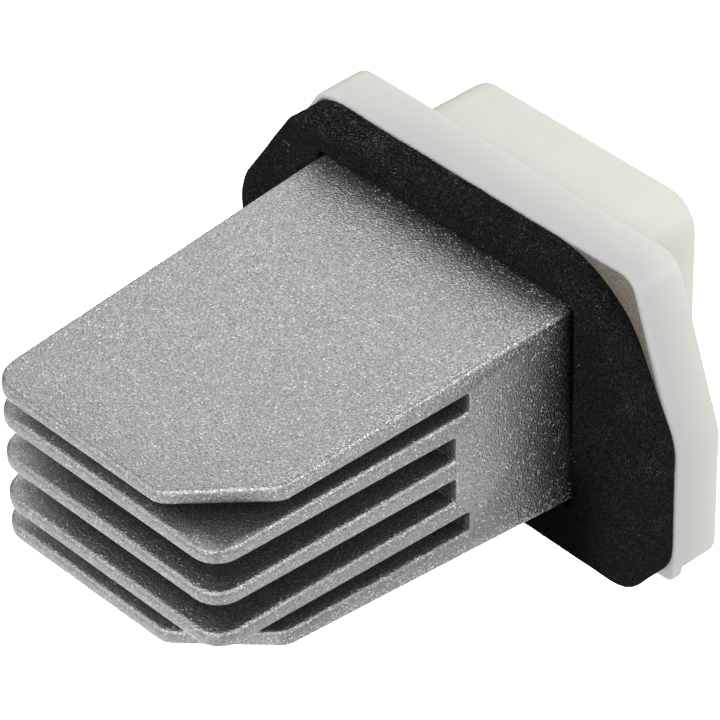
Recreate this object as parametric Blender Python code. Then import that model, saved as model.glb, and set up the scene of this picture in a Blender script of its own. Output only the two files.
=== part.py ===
"""Blower motor resistor for a car heater: a cast heat sink in the air stream, a foam
gasket, a moulded flange and a connector cover with the circuit between them.

Axes: X runs across the flange, Y runs from the fin tips to the connector, Z is up.
Y = 0 is the face of the gasket that seals against the air duct. X = Z = 0 is the middle
of the heat sink there. Lengths are in metres.
"""
import math

import bmesh
import bpy
from mathutils import Vector

for old in list(bpy.data.objects):
    bpy.data.objects.remove(old, do_unlink=True)

# Clearances
SEAT_GAP = 0.0003          # between two pieces that seat on each other
FILM_GAP = 0.00015         # between the adhesive film and what it bonds
OVERCUT = 0.001            # how far a cutter runs past the face that it opens
SINK_OPENING_GAP = 0.0005  # between the heat sink's sides and the hole in the foam

# Heat sink, thickness of each fin and slot at the gasket face and at the tip
SINK_LENGTH = 0.0508
SINK_ROOT_WIDTH = 0.0403
SINK_TIP_WIDTH = 0.0367
MIDDLE_FIN_ROOT = 0.0031
MIDDLE_FIN_TIP = 0.00195
INNER_FIN_ROOT = 0.0029
INNER_FIN_TIP = 0.0020
OUTER_FIN_ROOT = 0.00365
OUTER_FIN_TIP = 0.0019
INNER_SLOT_ROOT = 0.00275
INNER_SLOT_TIP = 0.0038
OUTER_SLOT_ROOT = 0.00275
OUTER_SLOT_TIP = 0.0020
OUTER_SLOT_END = 0.0146    # solid root ahead of the outer slots
INNER_SLOT_END = 0.0166    # solid root ahead of the inner slots
FIN_CORNER_RADIUS = 0.0040
FIN_RIGHT_CORNER_RADIUS = 0.0034
OUTER_FIN_CUT_ACROSS = 0.0088
OUTER_FIN_CUT_ALONG = 0.0098
CHAMFER_END_CUT = 0.0014   # how far the soft ends of that cut reach
CAST_EDGE_RADIUS = 0.00035

# Foam gasket and the film that bonds it to the flange
GASKET_THICKNESS = 0.0042
GASKET_MARGIN = 0.0001
GASKET_SETBACK_LEFT = 0.0009    # its upper left corner inside the flange's
GASKET_SETBACK_RIGHT = 0.0024   # its upper right corner, cut back more
GASKET_WAIST_SHIFT_LEFT = -0.0003
GASKET_WAIST_SHIFT_RIGHT = 0.0015
GASKET_SHOULDER_ROUND = 0.0149
GASKET_WAIST_ROUND = 0.0095
GASKET_CORNER_ROUND = 0.0030
GASKET_LOWER_ROUND = 0.0052
PLUG_GROOVE_WIDTH = 0.0004
PLUG_GROOVE_DEPTH = 0.0006
FILM_THICKNESS = 0.0002
FILM_MARGIN = 0.0007

# Flange outline, as the land that it leaves round the heat sink's root
LAND_LEFT = 0.01405
LAND_RIGHT = 0.01235
LAND_TOP = 0.0044
LAND_BOTTOM = 0.0075
SHOULDER_LEFT = 0.00485    # upper corners beyond the heat sink's sides
SHOULDER_RIGHT = 0.00515
SHOULDER_DROP_LEFT = 0.0146
SHOULDER_DROP_RIGHT = 0.0205
FLANGE_CORNER_ROUND = 0.0030
FLANGE_WAIST_ROUND = 0.0060

# Flange housing
FLANGE_DEPTH = 0.0070
PLATE_THICKNESS = 0.0025
RIM_DEPTH = 0.0012         # front rim, whose lower corners are crisper than the skirt's
RIM_STEP = 0.0003
RIM_CORNER_ROUND = 0.0015
SKIRT_WALL = 0.0015
RIB_THICKNESS = 0.0012
RIB_SETBACK = 0.0006
MOULDED_EDGE_ROUND = 0.0007
BOSS_DIAMETER = 0.0088
MOUNTING_HOLE = 0.0044
HOLE_LAND_RIGHT = 0.00525  # hole's middle beyond the heat sink's side
HOLE_LAND_LEFT = 0.00645
HOLE_Z = -0.0047
RIB_ROW_PITCH = 0.0072
COLLAR_WALL = 0.0015
WINDOW_MARGIN = 0.0012     # round the transistor and its leads

# Connector cover
COVER_REACH = 0.0108       # beyond the rear edge of the flange
COVER_TOP_ROOM = 0.0007    # between the skirt and the cover, above and below
COVER_BOTTOM_ROOM = 0.0038
COVER_WALL = 0.0016
COVER_CORNER_ROUND = 0.0045
COVER_REAR_ROUND = 0.0010
COVER_FRONT_ROUND = 0.0003
COVER_DRAFT = 0.012        # widening per unit of depth towards the flange
SNAP_WIDTH = 0.0060
SNAP_LENGTH = 0.0014
SNAP_HEIGHT = 0.0010
BOARD_RIB_DEPTH = 0.0013

# Connector socket and its blades
SOCKET_HEIGHT = 0.0130
SOCKET_SIDE_ROOM = 0.00085 # between the outer blades and the socket's sides
SOCKET_TOP_ROOM = 0.0042   # between the socket's upper wall and the cover
SOCKET_WALL = 0.0015
SOCKET_FLOOR = 0.0012
SOCKET_CORNER_ROUND = 0.0012
MOUTH_CHAMFER = 0.0006
KEY_WIDTH = 0.0010
KEY_HEIGHT = 0.0009
KEY_X = 0.0034
LATCH_WIDTH = 0.0050
LATCH_HEIGHT = 0.0009
LATCH_LENGTH = 0.0024
BLADE_SPACING = 0.00345    # between neighbouring blades
POWER_BLADE_WIDTH = 0.0063
SIGNAL_BLADE_WIDTH = 0.0028
BLADE_THICKNESS = 0.0008
BLADE_SETBACK = 0.0012     # blade tip below the rear face
BLADE_TAIL_WIDTH = 0.0018
SHOULDER_LENGTH = 0.0003
SHOULDER_STEP = 0.0007

# Circuit board
BOARD_THICKNESS = 0.0016
BOARD_GAP = 0.0004
BOARD_CORNER_ROUND = 0.0034
CASE_ROOM = 0.00045        # between the transistor and the ends of the leads
TAIL_LENGTH = 0.0005       # how far a lead stands out of the board

# Power transistor
PAD_THICKNESS = 0.00025
TAB_THICKNESS = 0.0013
TAB_WIDTH = 0.0100
TAB_BARE = 0.0063          # bare metal above the case
TAB_TOP_ROOM = 0.0029      # between the tab and the collar above it
TAB_HOLE = 0.0038
TAB_HOLE_DROP = 0.0028
TAB_CORNER_ROUND = 0.0006
CASE_LENGTH = 0.0092
CASE_HEIGHT = 0.0029
CASE_CORNER_ROUND = 0.0004
CASE_FRONT_ROUND = 0.0002
CASE_DRAFT = 0.08
LEAD_PITCH = 0.00254
LEAD_WIDTH = 0.0008
LEAD_THICKNESS = 0.0005
LEAD_DROP = 0.0030

# Screws
SCREW_DIAMETER = 0.0028
SCREW_HEAD_DIAMETER = 0.0054
SCREW_HEAD_HEIGHT = 0.0018
SCREW_DEPTH = 0.0060       # length in the heat sink
SCREW_ROOM = 0.0035        # between the transistor and a screw head
HEAD_ROOM = 0.0008         # between a screw head and the collar
DRIVE_WIDTH = 0.0007
DRIVE_LENGTH = 0.0028
DRIVE_DEPTH = 0.0009

# Small components
CAN_DIAMETER = 0.0063
CAN_LENGTH = 0.0070
CAN_SIDE_ROOM = 0.0039
CAN_LEAD_SPREAD = 0.0025
CAN_LEAD_DIAMETER = 0.0006
CHIP_WIDTH = 0.0049
CHIP_HEIGHT = 0.0039
CHIP_THICKNESS = 0.0014
CHIP_SIDE_ROOM = 0.0022
CHIP_DROP = 0.0016         # between a screw head and the chip
CHIP_EDGE_ROUND = 0.0002
CHIP_DRAFT = -0.05         # narrows away from the board
CHIP_LEG_PITCH = 0.00127
CHIP_LEG_WIDTH = 0.0004
CHIP_LEG_REACH = 0.0009
CHIP_LEG_THICKNESS = 0.0002
SMALL_LENGTH = 0.0032
SMALL_WIDTH = 0.0016
SMALL_HEIGHT = 0.0006
SMALL_SIDE_ROOM = 0.0004
SMALL_DROP = 0.0017        # between a screw head and the first row
SMALL_GAP_X = 0.0010
SMALL_GAP_Z = 0.0013
DIODE_LENGTH = 0.0046
DIODE_WIDTH = 0.0036
DIODE_HEIGHT = 0.0023
DIODE_SIDE_ROOM = 0.0050
DIODE_EDGE_ROUND = 0.0003
DIODE_DRAFT = 0.06

# Planes along Y that follow from the sizes above, from the duct to the connector
SINK_REAR = GASKET_THICKNESS + FILM_THICKNESS + 2 * FILM_GAP - SEAT_GAP
FLANGE_FRONT = SINK_REAR + SEAT_GAP
FLANGE_REAR = FLANGE_FRONT + FLANGE_DEPTH
PLATE_REAR = FLANGE_FRONT + PLATE_THICKNESS
COVER_FRONT = PLATE_REAR + SEAT_GAP
COVER_REAR = FLANGE_REAR + COVER_REACH
COVER_INNER_REAR = COVER_REAR - COVER_WALL
PAD_FRONT = SINK_REAR + SEAT_GAP
TAB_FRONT = PAD_FRONT + PAD_THICKNESS + SEAT_GAP
TAB_REAR = TAB_FRONT + TAB_THICKNESS
CASE_FRONT = TAB_REAR + SEAT_GAP
CASE_REAR = CASE_FRONT + CASE_HEIGHT
TAIL_FRONT = CASE_REAR + CASE_ROOM
BOARD_FRONT = TAIL_FRONT + TAIL_LENGTH
BOARD_REAR = BOARD_FRONT + BOARD_THICKNESS
COLLAR_REAR = BOARD_FRONT - SEAT_GAP
SHOULDER_FRONT = BOARD_REAR + SEAT_GAP
FLOOR_FRONT = SHOULDER_FRONT + SHOULDER_LENGTH + SEAT_GAP
FLOOR_REAR = FLOOR_FRONT + SOCKET_FLOOR


def sink_level(edge, y):
    """Height of one edge of the fins above the middle plane, tapering from root to tip."""
    root = [MIDDLE_FIN_ROOT / 2, INNER_SLOT_ROOT, INNER_FIN_ROOT, OUTER_SLOT_ROOT, OUTER_FIN_ROOT]
    tip = [MIDDLE_FIN_TIP / 2, INNER_SLOT_TIP, INNER_FIN_TIP, OUTER_SLOT_TIP, OUTER_FIN_TIP]
    share = -y / SINK_LENGTH
    return sum(root[:edge + 1]) * (1 - share) + sum(tip[:edge + 1]) * share


def sink_half_width(y):
    """Half of the heat sink's width, tapering from root to tip."""
    return (SINK_ROOT_WIDTH * (1 + y / SINK_LENGTH) - SINK_TIP_WIDTH * y / SINK_LENGTH) / 2


# Flange outline round the heat sink's root
ROOT_HALF = SINK_ROOT_WIDTH / 2
ROOT_TOP = sink_level(4, 0.0)
FLANGE_LEFT = -ROOT_HALF - LAND_LEFT
FLANGE_RIGHT = ROOT_HALF + LAND_RIGHT
FLANGE_TOP = ROOT_TOP + LAND_TOP
FLANGE_BOTTOM = -ROOT_TOP - LAND_BOTTOM
FLANGE_SHOULDER_LEFT = -ROOT_HALF - SHOULDER_LEFT
FLANGE_SHOULDER_RIGHT = ROOT_HALF + SHOULDER_RIGHT
FLANGE_WAIST_LEFT = FLANGE_TOP - SHOULDER_DROP_LEFT
FLANGE_WAIST_RIGHT = FLANGE_TOP - SHOULDER_DROP_RIGHT
HOLE_LEFT_X = -ROOT_HALF - HOLE_LAND_LEFT
HOLE_RIGHT_X = ROOT_HALF + HOLE_LAND_RIGHT

# Cover inside the skirt and round the collar, which goes round the screws and the transistor
SCREW_X = TAB_WIDTH / 2 + SCREW_ROOM + SCREW_HEAD_DIAMETER / 2
COLLAR_INNER_HALF = SCREW_X + SCREW_HEAD_DIAMETER / 2 + HEAD_ROOM
COVER_INNER_HALF = COLLAR_INNER_HALF + COLLAR_WALL + SEAT_GAP
COVER_WIDTH = 2 * (COVER_INNER_HALF + COVER_WALL)
COVER_TOP = FLANGE_TOP - SKIRT_WALL - COVER_TOP_ROOM
COVER_BOTTOM = FLANGE_BOTTOM + SKIRT_WALL + COVER_BOTTOM_ROOM
COVER_INNER_TOP = COVER_TOP - COVER_WALL
COVER_INNER_BOTTOM = COVER_BOTTOM + COVER_WALL

# Places of what the cover holds
BLADE_PITCH = (POWER_BLADE_WIDTH + SIGNAL_BLADE_WIDTH) / 2 + BLADE_SPACING
SOCKET_WIDTH = 2 * (BLADE_PITCH + POWER_BLADE_WIDTH / 2 + SOCKET_SIDE_ROOM)
SOCKET_HIGH = COVER_INNER_TOP - SOCKET_TOP_ROOM - SOCKET_WALL
SOCKET_LOW = SOCKET_HIGH - SOCKET_HEIGHT
SOCKET_Z = (SOCKET_HIGH + SOCKET_LOW) / 2
TAB_TOP = COVER_INNER_TOP - SEAT_GAP - COLLAR_WALL - TAB_TOP_ROOM
TAB_HOLE_Z = TAB_TOP - TAB_HOLE_DROP
TAB_BOTTOM = TAB_TOP - TAB_BARE - CASE_LENGTH
LEAD_Z = TAB_BOTTOM - LEAD_DROP
CAN_X = -COVER_INNER_HALF + CAN_SIDE_ROOM + CAN_DIAMETER / 2
CAN_Z = (SOCKET_LOW - SOCKET_WALL + COVER_INNER_BOTTOM) / 2
DIODE_X = COVER_INNER_HALF - DIODE_SIDE_ROOM - DIODE_LENGTH / 2
DIODE_Z = CAN_Z
CHIP_X = -COLLAR_INNER_HALF + CHIP_SIDE_ROOM + CHIP_WIDTH / 2
CHIP_Z = -SCREW_HEAD_DIAMETER / 2 - CHIP_DROP - CHIP_HEIGHT / 2
SMALL_STEP_X = SMALL_LENGTH + SMALL_GAP_X
SMALL_STEP_Z = SMALL_WIDTH + SMALL_GAP_Z
SMALL_FIRST_X = COLLAR_INNER_HALF - SMALL_SIDE_ROOM - SMALL_LENGTH / 2 - SMALL_STEP_X
SMALL_FIRST_Z = -SCREW_HEAD_DIAMETER / 2 - SMALL_DROP - SMALL_WIDTH / 2


def material(name, colour, roughness, metallic=0.0):
    """A plain material with one colour, roughness and metallic value."""
    made = bpy.data.materials.new(name)
    made.use_nodes = True
    shader = made.node_tree.nodes["Principled BSDF"]
    shader.inputs["Base Color"].default_value = (*colour, 1.0)
    shader.inputs["Roughness"].default_value = roughness
    shader.inputs["Metallic"].default_value = metallic
    made.diffuse_color = (*colour, 1.0)
    return made


CAST = material("cast_aluminium", (0.42, 0.415, 0.405), 0.55, 0.9)
FOAM = material("black_foam", (0.022, 0.022, 0.023), 0.95)
FILM = material("adhesive_film", (0.20, 0.18, 0.145), 0.6)
WHITE = material("white_nylon", (0.70, 0.71, 0.70), 0.4)
CREAM = material("natural_nylon", (0.74, 0.73, 0.60), 0.38)
BOARD = material("board_laminate", (0.05, 0.17, 0.07), 0.5)
BRASS = material("tinned_brass", (0.62, 0.58, 0.48), 0.3, 1.0)
COPPER = material("plated_copper", (0.60, 0.57, 0.53), 0.35, 1.0)
STEEL = material("zinc_plated_steel", (0.55, 0.55, 0.54), 0.35, 1.0)
BLACK = material("moulded_black", (0.02, 0.02, 0.022), 0.5)
GREY = material("silicone_pad", (0.35, 0.36, 0.37), 0.7)
SLEEVE = material("can_sleeve", (0.03, 0.035, 0.06), 0.4)
CERAMIC = material("ceramic_body", (0.45, 0.33, 0.20), 0.6)
RESISTOR = material("resistor_body", (0.03, 0.03, 0.035), 0.45)


def finish(name, mesh_data, surface, smooth_angle=35.0):
    """Turns bmesh data into a named, shaded object."""
    bmesh.ops.recalc_face_normals(mesh_data, faces=mesh_data.faces)
    mesh = bpy.data.meshes.new(name)
    mesh_data.to_mesh(mesh)
    mesh_data.free()
    mesh.materials.append(surface)
    mesh.shade_smooth()
    mesh.set_sharp_from_angle(angle=math.radians(smooth_angle))
    made = bpy.data.objects.new(name, mesh)
    bpy.context.scene.collection.objects.link(made)
    return made


def combine(target, tool, operation="DIFFERENCE"):
    """Cuts a tool out of a piece, or joins it on, and hides the tool."""
    step = target.modifiers.new(tool.name, "BOOLEAN")
    step.object = tool
    step.operation = operation
    step.solver = "EXACT"
    tool.hide_render = True
    tool.display_type = "WIRE"


def rounded(corners, steps=5):
    """Outline points of a convex shape whose corners are (x, z, radius), counter-clockwise."""
    points = []
    count = len(corners)
    for index, (x, z, radius) in enumerate(corners):
        corner = Vector((x, z))
        back = (Vector(corners[index - 1][:2]) - corner).normalized()
        ahead = (Vector(corners[(index + 1) % count][:2]) - corner).normalized()
        half = back.angle(ahead) / 2
        centre = corner + (back + ahead).normalized() * (radius / math.sin(half))
        start = corner + back * (radius / math.tan(half)) - centre
        first = math.atan2(start.y, start.x)
        sweep = math.pi - 2 * half
        for step in range(steps + 1):
            angle = first + sweep * step / steps
            points.append((centre.x + radius * math.cos(angle), centre.y + radius * math.sin(angle)))
    return points


def inset(corners, distance):
    """The same corners with every side moved inwards, and the radii with them."""
    count = len(corners)
    moved = []
    for index, (x, z, radius) in enumerate(corners):
        corner = Vector((x, z))
        back = (Vector(corners[index - 1][:2]) - corner).normalized()
        ahead = (Vector(corners[(index + 1) % count][:2]) - corner).normalized()
        half = back.angle(ahead) / 2
        new = corner + (back + ahead).normalized() * (distance / math.sin(half))
        moved.append((new.x, new.y, max(radius - distance, 0.0001)))
    return moved


def rectangle(left, right, bottom, top, radius):
    """Corners of a rounded rectangle, counter-clockwise."""
    return [(right, bottom, radius), (right, top, radius), (left, top, radius), (left, bottom, radius)]


def loft(name, sections, surface, smooth_angle=35.0):
    """A closed body through outlines of equal point count, each given as (y, points)."""
    data = bmesh.new()
    rings = [[data.verts.new((x, y, z)) for x, z in points] for y, points in sections]
    for first, second in zip(rings, rings[1:]):
        for index in range(len(first)):
            after = (index + 1) % len(first)
            data.faces.new((first[index], first[after], second[after], second[index]))
    data.faces.new(rings[0])
    data.faces.new(list(reversed(rings[-1])))
    return finish(name, data, surface, smooth_angle)


def prism(name, corners, front, rear, surface, steps=5):
    """A straight body between two planes of Y."""
    points = rounded(corners, steps)
    return loft(name, [(front, points), (rear, points)], surface)


def edge_steps(front, rear, front_round, rear_round, draft=0.0):
    """Steps (y, inset) of a block with rounded front and rear edges that widens towards the front."""
    sections = []
    for turn in (0, 30, 60, 90):
        angle = math.radians(turn)
        y = front + front_round * (1 - math.cos(angle))
        sections.append((y, front_round * (1 - math.sin(angle)) - draft * (rear - y)))
    for turn in (90, 60, 30, 0):
        angle = math.radians(turn)
        y = rear - rear_round * (1 - math.cos(angle))
        sections.append((y, rear_round * (1 - math.sin(angle)) - draft * (rear - y)))
    return sections


def moulded(name, corners, front, rear, front_round, rear_round, surface, draft=0.0, steps=5):
    """A moulded block with rounded front and rear edges that widens towards the front."""
    return loft(name, [(y, rounded(inset(corners, shift), steps))
                       for y, shift in edge_steps(front, rear, front_round, rear_round, draft)], surface)


def box(name, low, high, surface):
    """A plain box between two opposite corners."""
    data = bmesh.new()
    bmesh.ops.create_cube(data, size=1.0)
    for vert in data.verts:
        vert.co = Vector([low[axis] if vert.co[axis] < 0 else high[axis] for axis in range(3)])
    return finish(name, data, surface)


def turned(name, profile, centre, surface, steps=20):
    """Turns a profile of (radius, y) points about an axis along Y through (x, z)."""
    points = [(centre[0], profile[0][1], centre[1])]
    points += [(centre[0] + radius, y, centre[1]) for radius, y in profile]
    points.append((centre[0], profile[-1][1], centre[1]))
    data = bmesh.new()
    verts = [data.verts.new(point) for point in points]
    edges = [data.edges.new(pair) for pair in zip(verts, verts[1:])]
    bmesh.ops.spin(data, geom=verts + edges, cent=(centre[0], 0.0, centre[1]), axis=(0.0, 1.0, 0.0),
                   angle=2 * math.pi, steps=steps, use_merge=True)
    bmesh.ops.remove_doubles(data, verts=data.verts, dist=0.000002)
    return finish(name, data, surface)


def cylinder(name, centre, diameter, front, rear, surface, steps=20):
    """A plain cylinder along Y."""
    radius = diameter / 2
    return turned(name, [(radius, front), (radius, rear)], centre, surface, steps)


def ring(name, centre, outer, inner, front, rear, surface, steps=20):
    """A plain ring along Y, given by its outer and inner diameters."""
    corners = [(outer / 2, front), (outer / 2, rear), (inner / 2, rear), (inner / 2, front)]
    data = bmesh.new()
    spokes = []
    for step in range(steps):
        angle = 2 * math.pi * step / steps
        spokes.append([data.verts.new((centre[0] + radius * math.cos(angle), y, centre[1] + radius * math.sin(angle)))
                       for radius, y in corners])
    for index, spoke in enumerate(spokes):
        after = spokes[(index + 1) % steps]
        for corner in range(4):
            beside = (corner + 1) % 4
            data.faces.new((spoke[corner], spoke[beside], after[beside], after[corner]))
    return finish(name, data, surface)


def flat_plate(name, outline, z_low, z_high, surface):
    """A plate of constant thickness along Z from an (x, y) outline."""
    data = bmesh.new()
    low = [data.verts.new((x, y, z_low)) for x, y in outline]
    high = [data.verts.new((x, y, z_high)) for x, y in outline]
    for index in range(len(low)):
        after = (index + 1) % len(low)
        data.faces.new((low[index], low[after], high[after], high[index]))
    data.faces.new(low)
    data.faces.new(list(reversed(high)))
    return finish(name, data, surface)


# Outlines across the part

FLANGE_CORNERS = [
    (FLANGE_RIGHT, FLANGE_BOTTOM, FLANGE_CORNER_ROUND),
    (FLANGE_RIGHT, FLANGE_WAIST_RIGHT, FLANGE_WAIST_ROUND),
    (FLANGE_SHOULDER_RIGHT, FLANGE_TOP, FLANGE_CORNER_ROUND),
    (FLANGE_SHOULDER_LEFT, FLANGE_TOP, FLANGE_CORNER_ROUND),
    (FLANGE_LEFT, FLANGE_WAIST_LEFT, FLANGE_WAIST_ROUND),
    (FLANGE_LEFT, FLANGE_BOTTOM, FLANGE_CORNER_ROUND),
]
GASKET_CORNERS = [
    (FLANGE_RIGHT - GASKET_MARGIN, FLANGE_BOTTOM + GASKET_MARGIN, GASKET_LOWER_ROUND),
    (FLANGE_RIGHT - GASKET_MARGIN, FLANGE_WAIST_RIGHT + GASKET_WAIST_SHIFT_RIGHT, GASKET_WAIST_ROUND),
    (FLANGE_SHOULDER_RIGHT - GASKET_SETBACK_RIGHT, FLANGE_TOP - GASKET_MARGIN, GASKET_SHOULDER_ROUND),
    (FLANGE_SHOULDER_LEFT + GASKET_SETBACK_LEFT, FLANGE_TOP - GASKET_MARGIN, GASKET_CORNER_ROUND),
    (FLANGE_LEFT + GASKET_MARGIN, FLANGE_WAIST_LEFT + GASKET_WAIST_SHIFT_LEFT, GASKET_WAIST_ROUND),
    (FLANGE_LEFT + GASKET_MARGIN, FLANGE_BOTTOM + GASKET_MARGIN, GASKET_LOWER_ROUND),
]
FILM_CORNERS = [(x, z, GASKET_LOWER_ROUND if z == FLANGE_BOTTOM else radius) for x, z, radius in FLANGE_CORNERS]
RIM_CORNERS = [(x, z, RIM_CORNER_ROUND if z == FLANGE_BOTTOM else radius) for x, z, radius in FLANGE_CORNERS]
COVER_CORNERS = rectangle(-COVER_WIDTH / 2, COVER_WIDTH / 2, COVER_BOTTOM, COVER_TOP, COVER_CORNER_ROUND)
INNER_CORNERS = inset(COVER_CORNERS, COVER_WALL)
COLLAR_CORNERS = inset(INNER_CORNERS, SEAT_GAP)
MOUNTING_HOLES = ((HOLE_LEFT_X, HOLE_Z), (HOLE_RIGHT_X, HOLE_Z))


def side_reach(corners, z):
    """Smallest and largest X of the outline's straight sides at a height."""
    hits = []
    for index, (x, height, _) in enumerate(corners):
        x_next, height_next, _ = corners[(index + 1) % len(corners)]
        if (height - z) * (height_next - z) < 0:
            hits.append(x + (x_next - x) * (z - height) / (height_next - height))
    return min(hits), max(hits)


# Heat sink

def sink_side_profile():
    """The comb-shaped side view of the five fins, as (y, z) points."""
    tip = -SINK_LENGTH
    ends = {3: -OUTER_SLOT_END, 1: -INNER_SLOT_END}
    upper = [(SINK_REAR, sink_level(4, SINK_REAR)), (tip, sink_level(4, tip))]
    for slot_top in (3, 1):
        slot_end = ends[slot_top]
        upper.append((tip, sink_level(slot_top, tip)))
        upper.append((slot_end, sink_level(slot_top, slot_end)))
        upper.append((slot_end, sink_level(slot_top - 1, slot_end)))
        upper.append((tip, sink_level(slot_top - 1, tip)))
    return upper + [(y, -z) for y, z in reversed(upper)]


def make_heat_sink():
    data = bmesh.new()
    profile = sink_side_profile()
    right = [data.verts.new((sink_half_width(y), y, z)) for y, z in profile]
    left = [data.verts.new((-sink_half_width(y), y, z)) for y, z in profile]
    for index in range(len(profile)):
        after = (index + 1) % len(profile)
        data.faces.new((right[index], right[after], left[after], left[index]))
    data.faces.new(right)
    data.faces.new(list(reversed(left)))
    bmesh.ops.recalc_face_normals(data, faces=data.faces)

    # Corners of each fin as seen from above: the outermost two have a wide cut
    tip = -SINK_LENGTH
    outer_edge = sink_level(3, tip)
    groups = {}
    for edge in data.edges:
        ends = edge.verts
        upright = abs(ends[0].co.x - ends[1].co.x) < 1e-7
        if upright and all(abs(vert.co.y - tip) < 1e-7 for vert in ends):
            middle = (ends[0].co + ends[1].co) / 2
            if middle.x < 0:
                kind = (FIN_CORNER_RADIUS, 5)
            elif abs(middle.z) > outer_edge:
                kind = (OUTER_FIN_CUT_ACROSS, 1)
            else:
                kind = (FIN_RIGHT_CORNER_RADIUS, 5)
            groups.setdefault(kind, []).append(edge)
    for (size, segments), edges in groups.items():
        bmesh.ops.bevel(data, geom=edges, offset=size, offset_type="OFFSET", segments=segments,
                        profile=0.5, affect="EDGES", clamp_overlap=False)

    # That cut runs further along the fin than across it
    for vert in data.verts:
        level = 4 if abs(vert.co.z) > (sink_level(3, vert.co.y) + sink_level(4, vert.co.y)) / 2 else 3
        is_outer = abs(vert.co.z) > (sink_level(2, vert.co.y) + sink_level(3, vert.co.y)) / 2
        if vert.co.x > 0 and is_outer and 0.5 < (vert.co.y - tip) / OUTER_FIN_CUT_ACROSS < 1.5:
            y = tip + OUTER_FIN_CUT_ALONG
            vert.co = (sink_half_width(y), y, math.copysign(sink_level(level, y), vert.co.z))

    # Soft ends of the cut
    ends = [edge for edge in data.edges if edge.is_convex and math.radians(30) < edge.calc_face_angle(0.0) < math.radians(60)
            and all(vert.co.x > 0 and vert.co.y < tip + 2 * OUTER_FIN_CUT_ALONG for vert in edge.verts)
            and abs(edge.verts[0].co.x - edge.verts[1].co.x) < 1e-5]
    bmesh.ops.bevel(data, geom=ends, offset=CHAMFER_END_CUT, offset_type="OFFSET", segments=4,
                    profile=0.5, affect="EDGES", clamp_overlap=False)

    # Soft cast edges round every fin, slot mouth and long corner
    soft = []
    for edge in data.edges:
        first, second = (vert.co for vert in edge.verts)
        along = (second - first).normalized()
        at_rear = abs(first.y - SINK_REAR) < 1e-7 and abs(second.y - SINK_REAR) < 1e-7
        at_tip_corner = abs(along.z) > 0.9 and min(first.y, second.y) < -INNER_SLOT_END - 1e-5
        if at_rear or at_tip_corner or not edge.is_convex:
            continue
        if edge.calc_face_angle(0.0) > math.radians(30):
            soft.append(edge)
    bmesh.ops.bevel(data, geom=soft, offset=CAST_EDGE_RADIUS, offset_type="OFFSET", segments=2,
                    profile=0.5, affect="EDGES", clamp_overlap=False)
    sink = finish("heat_sink", data, CAST)

    bore = SCREW_DIAMETER + 2 * SEAT_GAP
    depth = SINK_REAR - SCREW_DEPTH - SEAT_GAP
    for label, centre in (("left", (-SCREW_X, 0.0)), ("right", (SCREW_X, 0.0)), ("tab", (0.0, TAB_HOLE_Z))):
        hole = turned("sink_hole_" + label, [(bore / 2, SINK_REAR + OVERCUT), (bore / 2, depth), (bore / 6, depth - bore / 4)],
                      centre, CAST, 16)
        combine(sink, hole)
    return sink


# Foam gasket and adhesive film

def sink_opening(gap):
    """Corners of a hole that clears the heat sink by a gap."""
    half = sink_half_width(SINK_REAR) + gap
    height = sink_level(4, SINK_REAR) + gap
    return rectangle(-half, half, -height, height, gap)


def make_gasket():
    gasket = prism("foam_gasket", GASKET_CORNERS, 0.0, GASKET_THICKNESS, FOAM, steps=8)
    hole = prism("gasket_hole", sink_opening(SINK_OPENING_GAP), -OVERCUT, GASKET_THICKNESS + OVERCUT, FOAM, 3)
    combine(gasket, hole)
    for label, centre in zip(("left", "right"), MOUNTING_HOLES):
        groove = ring("plug_groove_" + label, centre, MOUNTING_HOLE, MOUNTING_HOLE - 2 * PLUG_GROOVE_WIDTH,
                      -OVERCUT, PLUG_GROOVE_DEPTH, FOAM)
        combine(gasket, groove)
    return gasket


def make_film():
    front = GASKET_THICKNESS + FILM_GAP
    film = prism("adhesive_film", inset(FILM_CORNERS, FILM_MARGIN), front, front + FILM_THICKNESS, FILM, 6)
    hole = prism("film_hole", sink_opening(SINK_OPENING_GAP), front - OVERCUT, front + OVERCUT, FILM, 3)
    combine(film, hole)
    for label, centre in zip(("left", "right"), MOUNTING_HOLES):
        combine(film, cylinder("film_punch_" + label, centre, MOUNTING_HOLE, front - OVERCUT, front + OVERCUT, FILM))
    return film


# Flange housing: plate, skirt, collar, screw bosses and stiffening ribs

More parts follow.
